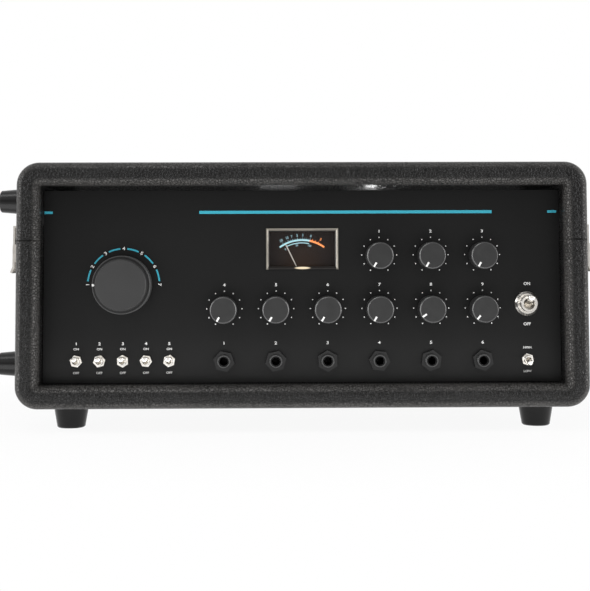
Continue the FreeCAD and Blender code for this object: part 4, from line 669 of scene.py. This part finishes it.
rims = bmesh.new()
mouths = bmesh.new()
for jack in JACKS:
    at = Vector(mounts[jack]["pos_m"])
    way = facing(Vector((at.x, face, at.z)), FORWARD)
    turn_profile(rims, RIM, way, 40)
    turn_profile(mouths, MOUTH, way, 40)
    add_thread(rims, way.translation, *JACK_THREAD)
make_piece("jack_rims", rims, edge_painted_highlight, "base")
make_piece("jack_mouths", mouths, mouth_painted_shade, "base")

# The level meter: a moulded frame in warm silver round a flat pane, with painted shade on
# its inner lip. A small lamp sits below the dark dial; its light on the dial, the scale,
# the needle and the frame's foot is painted in as glow. The scale is printed in pale
# blue and orange, and the needle is a painted wire.

LAMP_DROP = 1.5 * MM
SPOT_SHIFT = 0.2 * MM
SPOT_HALF = 6.4 * MM
SPOT_TALL = 1.0 * MM

bezel, place = new_finish("meter_silver", (0.42, 0.39, 0.33), 0.32, Metallic=0.7,
                          Emission_Strength=1.0)
fine = place.noise(0.25 * MM, 3.0)
broad = place.noise(14 * MM, 2.0)
meter_low, meter_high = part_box("meter_window")
meter_middle = (meter_low + meter_high) / 2
across = (place.split("X") - meter_middle.x - SPOT_SHIFT) * (1 / SPOT_HALF)
rise = (place.split("Z") - meter_low.z + LAMP_DROP) * (1 / SPOT_TALL)
# Painted light: a glowing patch on the frame's foot, a painted pool of the lamp's light.
painted_lamp_glow = (across.math("POWER", 2.0) + rise.math("POWER", 2.0)).step(1.2, 0.3)
window_half = (meter_high.x - meter_low.x) / 2
# Painted shade: the inner lip round the window is painted dark.
painted_lip_shade = (place.split("Z") - meter_high.z).step(1.1 * MM, 0.7 * MM) * (
    place.split("X") - meter_middle.x).math("ABSOLUTE").step(
        window_half + 1.1 * MM, window_half + 0.6 * MM)
silver = broad.mix((0.25, 0.23, 0.195), (0.37, 0.345, 0.30))
feed(bezel, height=fine, depth=0.01 * MM, Base_Color=painted_lip_shade.mix(silver, (0.012, 0.010, 0.009)),
     Roughness=0.26 + broad * 0.14, Metallic=0.7 - painted_lip_shade * 0.7,
     Emission_Color=painted_lamp_glow.mix((0, 0, 0), (1.0, 0.83, 0.58)))
dress(bezel, "meter_case")

pane, place = new_finish("meter_pane", (0.03, 0.033, 0.036), 0.04, Alpha=0.12)
smear = place.noise(9 * MM, 2.0)
feed(pane, Roughness=0.02 + smear * 0.08)
dress(pane, "meter_window")

DIAL_THICK = 1.0 * MM
GLOW_TALL = 30 * MM
GLOW_FOOT = -4 * MM
GLOW_HALF = 24 * MM

pivot = Vector(joints["needle_swing"]["pos_m"])
dial_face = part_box("meter_dial")[1].y - DIAL_THICK

dial, place = new_finish("dial_brown", (0.012, 0.007, 0.005), 0.6, Emission_Strength=1.0,
                         Specular_IOR_Level=0.1)
# Painted light: the dial glows warm low down in the middle, a painted pool of the lamp's light.
glow_height = (place.split("Z") - meter_low.z).step(GLOW_TALL, GLOW_FOOT)
glow_across = (place.split("X") - meter_middle.x).math("ABSOLUTE").step(GLOW_HALF, 0.0)
fine = place.noise(0.4 * MM, 3.0)
feed(dial, height=fine, depth=0.02 * MM,
     Base_Color=fine.mix((0.010, 0.006, 0.005), (0.018, 0.011, 0.008)),
     Emission_Color=(glow_height * glow_across).mix((0.004, 0.002, 0.001), (0.022, 0.010, 0.004)))
dress(dial, "meter_dial")


def new_lit_ink(name, colour, strength):
    """Ink on the dial, with the lamp's light on it painted in as glow."""
    ink, place = new_finish(name, colour, 0.5, Emission_Strength=strength)
    cover = place.noise(0.4 * MM, 2.0).step(0.2, 0.6)
    dim = [channel * 0.75 for channel in colour]
    return feed(ink, Emission_Color=cover.mix(dim, colour), Base_Color=cover.mix(dim, colour))


pale_ink = new_lit_ink("dial_pale_blue", (0.40, 0.66, 0.72), 0.9)
dim_ink = new_lit_ink("dial_dim_blue", (0.26, 0.42, 0.48), 0.8)
orange_ink = new_lit_ink("dial_orange", (1.0, 0.32, 0.10), 0.95)
# Painted light: the needle glows faintly with the lamp's light painted in.
needle_paint = new_lit_ink("needle_cream", (0.66, 0.62, 0.56), 0.40)
dress(needle_paint, "meter_needle")

SCALE = 29.3 * MM
SCALE_LINE = 1.4 * MM
INNER_SCALE = SCALE - 2.2 * MM
INNER_LINE = 0.6 * MM
OUTER_MARKS = SCALE + 3.7 * MM
OUTER_CAPS = 1.9 * MM
INNER_MARKS = SCALE - 3.8 * MM
INNER_CAPS = 1.5 * MM
SCALE_END = math.radians(36)
ORANGE_FROM = math.radians(11.5)
dial_centre = Vector((pivot.x, dial_face - INK, pivot.z))


def add_tick(bm, angle, inner, outer, width):
    """A radial mark on the dial's scale."""
    before = set(bm.verts)
    add_bar(bm, (-width / 2, -INK / 2, inner), (width / 2, INK / 2, outer))
    made = [vert for vert in bm.verts if vert not in before]
    bmesh.ops.transform(bm, verts=made, matrix=Matrix.Translation(dial_centre)
                        @ Matrix.Rotation(angle, 4, "Y"))


def add_mark(bm, text, angle, radius, tall):
    """A number on the dial, upright along the scale."""
    add_letters(bm, text, dial_centre.x + radius * math.sin(angle),
                dial_centre.z + radius * math.cos(angle), tall, -angle, 0.9, dial_centre.y)


bm = bmesh.new()
add_arc(bm, dial_centre, SCALE, SCALE_LINE, -SCALE_END, ORANGE_FROM)
add_arc(bm, dial_centre, INNER_SCALE, INNER_LINE, -SCALE_END * 0.75, ORANGE_FROM)
make_piece("meter_scale_blue", bm, pale_ink, "base")
bm = bmesh.new()
for text, degrees in (("20", -29), ("10", -20.5), ("7", -14), ("5", -6.5), ("3", 1), ("0", 12)):
    angle = math.radians(degrees)
    add_tick(bm, angle, SCALE, SCALE + 1.9 * MM, 0.32 * MM)
    add_mark(bm, text, angle, OUTER_MARKS, OUTER_CAPS)
for degrees in (-24.5, -17, -10, -2.5, 4, 6.5, 9):
    add_tick(bm, math.radians(degrees), SCALE, SCALE + 1.5 * MM, 0.25 * MM)
for text, degrees in (("0", -30), ("50", -9), ("100", 13)):
    add_mark(bm, text, math.radians(degrees), INNER_MARKS, INNER_CAPS)
make_piece("meter_marks", bm, dim_ink, "base")
bm = bmesh.new()
add_arc(bm, dial_centre, SCALE, SCALE_LINE, ORANGE_FROM, SCALE_END)
for degrees in (15.5, 20, 25):
    add_tick(bm, math.radians(degrees), SCALE, SCALE + 1.7 * MM, 0.35 * MM)
add_mark(bm, "3", math.radians(26), OUTER_MARKS, OUTER_CAPS)
make_piece("meter_scale_orange", bm, orange_ink, "base")

lamp, place = new_finish("lamp_lens", (1.0, 0.86, 0.62), 0.4, Emission_Strength=1.2)
fade = (place.split("X") - meter_middle.x).math("ABSOLUTE").step(6.5 * MM, 1.0 * MM)
feed(lamp, Emission_Color=fade.mix((0.05, 0.035, 0.015), (1.0, 0.86, 0.60)))

LENS_FORWARD = 2.4 * MM
LENS_HALVES = (6.6 * MM, 1.6 * MM, 1.3 * MM)

bm = bmesh.new()
lens_at = Vector((meter_middle.x, dial_face - LENS_FORWARD, meter_low.z - LAMP_DROP))
bmesh.ops.create_uvsphere(bm, u_segments=32, v_segments=12, radius=1.0,
                          matrix=Matrix.Translation(lens_at)
                          @ Matrix.Diagonal((*LENS_HALVES, 1)))
make_piece("meter_lamp_lens", bm, lamp, "base")

# The chassis: a folded plated tray that stands on the case floor, the black deck plate
# on its flanges, and the slotted rear panel. Screws hold the deck and the rear panel.

zinc, place = new_finish("zinc_plate", (0.5, 0.5, 0.5), 0.4, Metallic=1.0)
brushed = place.noise(0.5 * MM, 3.0, (0.05, 1, 1))
broad = place.noise(30 * MM, 4.0)
feed(zinc, height=brushed, depth=0.01 * MM, Base_Color=broad.mix((0.36, 0.36, 0.35),
     (0.56, 0.56, 0.57)), Roughness=0.3 + broad * 0.25)
dress(zinc, "chassis_tray")

crackle, place = new_finish("deck_black", (0.018, 0.018, 0.019), 0.5)
cells = place.add("TexVoronoi", {"Vector": place, "Scale": 1 / (0.9 * MM)}, feature="F1")
feed(crackle, height=cells, depth=0.08 * MM, Base_Color=cells.mix((0.026, 0.026, 0.027),
     (0.012, 0.012, 0.012)), Roughness=0.38 + cells * 0.2)
dress(crackle, "deck_plate", "rear_panel")

deck_low, deck_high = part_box("deck_plate")
rear_low, rear_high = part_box("rear_panel")
rear_middle = (rear_low.z + rear_high.z) / 2
DECK_INSET = 8 * MM
DECK_SCREW = 2.9 * MM
APERTURE_HALF = 165 * MM
APERTURE_TALL = 36 * MM
REAR_SCREW = 3.0 * MM
UPWARD = (0, 0, 1)
BACKWARD = (0, 1, 0)

bm = bmesh.new()
for depth in (deck_low.y + DECK_INSET, deck_high.y - DECK_INSET):
    for across in (-0.96, -0.32, 0.32, 0.96):
        add_screw(bm, (across * deck_high.x, depth, deck_high.z), UPWARD, DECK_SCREW)
for across in (-0.95, 0.95):
    for rise in (-0.82, 0.82):
        at = (across * APERTURE_HALF, rear_high.y, rear_middle + rise * APERTURE_TALL)
        add_screw(bm, at, BACKWARD, REAR_SCREW)
make_piece("chassis_screws", bm, steel, "base")

# The mains inlet: a black moulded appliance inlet with three plated blades, held to
# the rear panel by two screws.

inlet_low, inlet_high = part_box("mains_inlet")
inlet_middle = (inlet_low + inlet_high) / 2
INLET_REACH = 20 * MM
INLET_SCREW = 2.6 * MM
BLADES = ((-7, -2), (0, 2), (7, -2))
BLADE = Vector((2.1, 12.0, 4.1)) * MM
BLADE_SUNK = 16.9 * MM

bm = bmesh.new()
for side in (-1, 1):
    at = (inlet_middle.x + side * INLET_REACH, inlet_high.y, inlet_middle.z)
    add_screw(bm, at, BACKWARD, INLET_SCREW)
make_piece("inlet_screws", bm, steel, "base")
bm = bmesh.new()
for across, rise in BLADES:
    low = Vector((inlet_middle.x + across * MM - BLADE.x / 2, inlet_high.y - BLADE_SUNK,
                  inlet_middle.z + rise * MM - BLADE.z / 2))
    add_bar(bm, low, low + BLADE)
bmesh.ops.bevel(bm, geom=list(bm.edges), offset=0.3 * MM, segments=2, profile=0.5,
                affect="EDGES", material=-1)
make_piece("inlet_blades", bm, nickel, "base")

# The carrying strap: a moulded black strap with a ribbed grip, its ends held under two
# nickel-plated caps that are screwed to the right side of the case.

RIB_PITCH = 4.5 * MM
GRIP_HALF = 46 * MM
GRIP_ENDS = 6 * MM
GRIP_TALL = 9.5 * MM
GRIP_EDGE = 1 * MM

strap_rubber, place = new_finish("strap_black", (0.016, 0.016, 0.016), 0.5)
along = place.split("Y")
ribs = (along * (math.tau / RIB_PITCH)).math("SINE").step(-0.2, 0.6)
strap_low, strap_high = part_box("handle_strap")
strap_middle = (strap_low + strap_high) / 2
near = (along - strap_middle.y).math("ABSOLUTE").step(GRIP_HALF + GRIP_ENDS, GRIP_HALF)
edge = (place.split("Z") - strap_middle.z).math("ABSOLUTE").step(
    GRIP_TALL + GRIP_EDGE, GRIP_TALL)
grip = ribs * near * edge
fine = place.noise(0.5 * MM, 3.0)
# Painted light: the rib crests are painted paler and the grooves darker, for the light and shade the ribs would
# catch.
feed(strap_rubber, height=grip + fine * 0.05, depth=0.6 * MM,
     Base_Color=(grip * 0.7 + fine * 0.3).mix((0.010, 0.010, 0.010), (0.034, 0.033, 0.033)),
     Roughness=0.5 - grip * 0.18 + fine * 0.1)
dress(strap_rubber, "handle_strap")
dress(nickel, "handle_end_caps")

caps_low, caps_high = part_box("handle_end_caps")
CAP_INSET = 9 * MM
CAP_RISE = 8 * MM
CAP_SCREW = 3.0 * MM

bm = bmesh.new()
for depth in (caps_low.y + CAP_INSET, caps_high.y - CAP_INSET):
    for rise in (-CAP_RISE, CAP_RISE):
        at = (caps_high.x, depth, (caps_low.z + caps_high.z) / 2 + rise)
        add_screw(bm, at, (1, 0, 0), CAP_SCREW)
make_piece("handle_screws", bm, steel, "base")

# The hinges and latches: plated steel butt hinges on the back, and a draw latch on each
# side whose lever pulls a hook over the keeper on the lid. Small screws hold them.

dress(steel, "hinge_lower_leaves", "hinge_upper_leaves")

satin_nickel, place = new_finish("satin_nickel", (0.64, 0.61, 0.57), 0.35, Metallic=1.0)
fine = place.noise(0.3 * MM, 3.0)
broad = place.noise(6 * MM, 3.0)
feed(satin_nickel, height=fine, depth=0.008 * MM, Base_Color=broad.mix((0.52, 0.49, 0.45),
     (0.70, 0.67, 0.63)), Roughness=0.3 + broad * 0.14)
dress(satin_nickel, "left_latch_lever", "right_latch_lever", "left_latch_hook",
      "right_latch_hook", "latch_bases", "latch_keepers")

LEAF_INSET = 8 * MM
LEAF_THICK = 1.5 * MM
LEAF_HOLES = (108, 130, 152)
LEAF_SCREW = 2.6 * MM


def hinge_screws(name, node, body):
    """Three screws in each leaf of a node on the back."""
    low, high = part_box(node)
    height = high.z - LEAF_INSET if body == "lid" else low.z + LEAF_INSET
    bm = bmesh.new()
    for side in (-1, 1):
        for across in LEAF_HOLES:
            at = (side * across * MM, case_high.y + LEAF_THICK, height)
            add_screw(bm, at, BACKWARD, LEAF_SCREW)
    make_piece(name, bm, steel, body)


hinge_screws("lower_hinge_screws", "hinge_lower_leaves", "base")
hinge_screws("upper_hinge_screws", "hinge_upper_leaves", "lid")

bases_low, bases_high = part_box("latch_bases")
keepers_low, keepers_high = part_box("latch_keepers")
PLATE = 1.2 * MM
PLATE_SCREW = 1.9 * MM
BASE_INSET = 2.5 * MM
BASE_RISE = 4 * MM
KEEPER_INSET = 2.3 * MM
KEEPER_DROP = 3 * MM


def side_screws(name, low, high, inset, height, body):
    """Two screws in a plate on each side of the case."""
    bm = bmesh.new()
    for side, outside in ((-1, case_low.x), (1, case_high.x)):
        for depth in (low.y + inset, high.y - inset):
            add_screw(bm, (outside + side * PLATE, depth, height), (side, 0, 0), PLATE_SCREW)
    make_piece(name, bm, steel, body)


side_screws("latch_base_screws", bases_low, bases_high, BASE_INSET,
            bases_low.z + BASE_RISE, "base")
side_screws("latch_keeper_screws", keepers_low, keepers_high, KEEPER_INSET,
            keepers_high.z - KEEPER_DROP, "lid")

# The tape transport: brown tape in an endless loop past a row of polished heads, round
# two turned guides and into a shallow bin under a clear cover. The capstan's flywheel
# and the rubber pinch roller drive it.

oxide, place = new_finish("tape_brown", (0.05, 0.025, 0.015), 0.3)
streak = place.noise(0.6 * MM, 3.0, (0.05, 0.05, 1))
feed(oxide, height=streak, depth=0.01 * MM, Base_Color=streak.mix((0.04, 0.019, 0.012),
     (0.075, 0.04, 0.026)), Roughness=0.22 + streak * 0.15)
dress(oxide, "tape_loop")

turned, place = new_finish("turned_steel", (0.46, 0.46, 0.46), 0.35, Metallic=1.0)
lines = place.noise(0.25 * MM, 2.0, (0.05, 0.05, 1))
feed(turned, height=lines, depth=0.01 * MM, Base_Color=lines.mix((0.38, 0.38, 0.38),
     (0.54, 0.54, 0.53)), Roughness=0.26 + lines * 0.2)
dress(turned, "tape_guides", "pinch_arm", "capstan", "tape_heads")

alloy, place = new_finish("milled_alloy", (0.4, 0.4, 0.41), 0.5, Metallic=1.0)
lines = place.noise(0.4 * MM, 2.0, (1, 0.05, 1))
feed(alloy, height=lines, depth=0.015 * MM, Base_Color=lines.mix((0.32, 0.32, 0.33),
     (0.46, 0.46, 0.47)), Roughness=0.46 + lines * 0.2)
dress(alloy, "head_block")

bin_black, place = new_finish("bin_black", (0.02, 0.02, 0.021), 0.4)
fine = place.noise(0.5 * MM, 3.0)
feed(bin_black, height=fine, depth=0.03 * MM, Base_Color=fine.mix((0.016, 0.016, 0.016),
     (0.028, 0.028, 0.029)), Roughness=0.34 + fine * 0.18)
dress(bin_black, "tape_tray")

clear, place = new_finish("clear_cover", (0.10, 0.115, 0.12), 0.05, Alpha=0.16)
smear = place.noise(25 * MM, 3.0)
feed(clear, Roughness=0.03 + smear * 0.12)
dress(clear, "tray_cover")

roller_rubber, place = new_finish("roller_rubber", (0.02, 0.02, 0.02), 0.5)
lines = place.noise(0.3 * MM, 2.0, (0.1, 0.1, 1))
feed(roller_rubber, height=lines, depth=0.02 * MM, Base_Color=lines.mix((0.014, 0.014, 0.014),
     (0.03, 0.029, 0.028)), Roughness=0.45 + lines * 0.15)
dress(roller_rubber, "pinch_roller")

heads_low, heads_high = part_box("tape_heads")
cover_low, cover_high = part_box("tray_cover")
HEADS_ACROSS = (-85, -52, -14, 19, 52)
HEAD_SCREW_BACK = 2 * MM
HEAD_SCREW = 1.8 * MM
COVER_INSET = 9 * MM
COVER_SCREW = 2.6 * MM

bm = bmesh.new()
for across in HEADS_ACROSS:
    at = (across * MM, (heads_low.y + heads_high.y) / 2 + HEAD_SCREW_BACK, heads_high.z)
    add_screw(bm, at, UPWARD, HEAD_SCREW)
for across in (cover_low.x + COVER_INSET, cover_high.x - COVER_INSET):
    for depth in (cover_low.y + COVER_INSET, cover_high.y - COVER_INSET):
        add_screw(bm, (across, depth, cover_high.z), UPWARD, COVER_SCREW)
make_piece("transport_screws", bm, steel, "base")

HUB = [(1.7 * MM, -0.3 * MM), (4.2 * MM, -0.3 * MM), (4.2 * MM, 0.18 * MM),
       (3.9 * MM, 0.28 * MM), (1.7 * MM, 0.28 * MM)]

bm = bmesh.new()
hub_at = Vector(joints["roller_spin"]["pos_m"])
hub_at.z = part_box("pinch_roller")[1].z
turn_profile(bm, HUB, facing(hub_at, UPWARD))
make_piece("roller_hub", bm, alloy, "pinch_roller")

# The electronics: the main board with its components, the transformer, the reverb
# tank, the capstan motor, and the controls behind the panel, all under the deck.

board, place = new_finish("board_green", (0.05, 0.12, 0.05), 0.35)
tracks = place.add("TexVoronoi", {"Vector": place, "Scale": 1 / (6 * MM)},
                   feature="F1", distance="CHEBYCHEV")
feed(board, height=tracks, depth=0.03 * MM, Base_Color=tracks.mix((0.03, 0.09, 0.035),
     (0.07, 0.16, 0.07)), Roughness=0.3 + tracks * 0.1)
dress(board, "circuit_board")

laminations, place = new_finish("core_iron", (0.12, 0.11, 0.10), 0.5, Metallic=0.6)
sheets = (place.split("Y") * (math.tau / (0.7 * MM))).math("SINE").step(-1.0, 1.0)
feed(laminations, height=sheets, depth=0.05 * MM, Base_Color=sheets.mix((0.08, 0.075, 0.07),
     (0.16, 0.15, 0.14)))
dress(laminations, "power_transformer")
dress(zinc, "reverb_tank", "capstan_motor", "potentiometers", "mode_switch")

# The studio: a white floor and backdrop that the camera sees as plain white, with the
# unit's soft shadow on it. Soft lamps hang above and at both sides, a low one stands for
# the light off the floor, and three weak ones light the top of the panel's bay.

CAMERA_AT = (-0.01943, -1.02735, 0.12727)
CAMERA_TURN = math.radians(-0.9007)
CAMERA_TILT = math.radians(3.2376)
CAMERA_ROLL = math.radians(0.1843)

camera = bpy.data.cameras.new("camera")
camera.lens = 71.69
camera.shift_x = -0.00085
camera.shift_y = -0.1692
camera.clip_end = 50
viewer = bpy.data.objects.new("camera", camera)
bpy.context.scene.collection.objects.link(viewer)
viewer.matrix_world = (
    Matrix.Translation(CAMERA_AT) @ Matrix.Rotation(CAMERA_TURN, 4, "Z")
    @ Matrix.Rotation(CAMERA_TILT, 4, "X") @ Matrix.Rotation(CAMERA_ROLL, 4, "Y")
    @ Matrix.Rotation(math.radians(90), 4, "X"))
bpy.context.scene.camera = viewer

world = bpy.data.worlds.new("studio")
world.use_nodes = True
bpy.context.scene.world = world
tree = world.node_tree
ambient = tree.nodes["Background"]
ambient.inputs["Color"].default_value = (1, 1, 1, 1)
around = Link(tree, tree.nodes.new("ShaderNodeTexCoord").outputs["Generated"])
front = around.split("Y").step(-0.40, -0.80)
dark_front = (front * around.split("Z").step(-0.30, -0.10)
              * around.split("Z").step(0.45, 0.15) * 0.6)
ahead = around.split("Y").step(-0.15, -0.85)
below = around.split("Z").step(0.02, -0.2)
strength = (0.42 - ahead * 0.38).math("MAXIMUM", below)
tree.links.new(strength.socket, ambient.inputs["Strength"])
seen = around.add("Background", {"Color": (1, 1, 1, 1), "Strength": 1.0})
camera_ray, glossy_ray, clear_ray = [around.add("LightPath", {}, output="Is %s Ray" % kind)
                                     for kind in ("Camera", "Glossy", "Transmission")]
mirrored = glossy_ray.math("MAXIMUM", clear_ray) * (1 - dark_front)
choice = seen.add("MixShader", {0: camera_ray.math("MAXIMUM", mirrored),
                                1: Link(tree, ambient.outputs[0]), 2: seen})
tree.links.new(choice.socket, tree.nodes["World Output"].inputs["Surface"])

FADE_FROM = 0.42
FADE_TO = 0.16
FLOOR_COVER = 0.07
FLOOR_HALF = 6.0

floor_white, place = new_finish("floor_white", (0.86, 0.86, 0.86), 0.9)
far = (place.split("X") * 0.75).math("POWER", 2.0) + place.split("Y").math("POWER", 2.0)
feed(floor_white, Alpha=far.math("SQRT").step(FADE_FROM, FADE_TO) * FLOOR_COVER)
bm = bmesh.new()
bmesh.ops.create_grid(bm, x_segments=1, y_segments=1, size=FLOOR_HALF)
mesh = bpy.data.meshes.new("floor")
bm.to_mesh(mesh)
bm.free()
mesh.materials.append(floor_white)
floor = bpy.data.objects.new("floor", mesh)
bpy.context.scene.collection.objects.link(floor)


def add_lamp(name, at, aim, wide, tall, power):
    """A soft rectangular lamp that faces a place."""
    light = bpy.data.lights.new(name, "AREA")
    light.shape = "RECTANGLE"
    light.size = wide
    light.size_y = tall
    light.energy = power
    lamp = bpy.data.objects.new(name, light)
    bpy.context.scene.collection.objects.link(lamp)
    way = Vector(aim) - Vector(at)
    lamp.matrix_world = Matrix.Translation(at) @ way.to_track_quat("-Z", "Y").to_matrix().to_4x4()
    lamp.visible_camera = False


add_lamp("top_lamp", (-0.35, -0.75, 1.30), (0, -0.1, 0.1), 0.85, 0.5, 6)
add_lamp("left_lamp", (-1.25, -0.45, 0.35), (0, -0.1, 0.12), 0.6, 1.1, 12)
add_lamp("right_lamp", (1.25, -0.45, 0.35), (0, -0.1, 0.12), 0.6, 1.1, 12)
add_lamp("floor_bounce", (0, -0.29, 0.004), (0, -0.29, 1), 0.9, 0.28, 1.3)
add_lamp("bay_lamp", (0, 0.02, 0.165), (0, -0.11, 0.187), 0.4, 0.01, 0.0022)
add_lamp("bay_left_lamp", (-0.0185, -0.06, 0.170), (-0.0185, -0.12, 0.190), 0.03, 0.01, 0.0013)
add_lamp("bay_right_lamp", (0.058, -0.06, 0.170), (0.058, -0.12, 0.190), 0.008, 0.01, 0.004)

bpy.context.scene.view_settings.view_transform = "Standard"
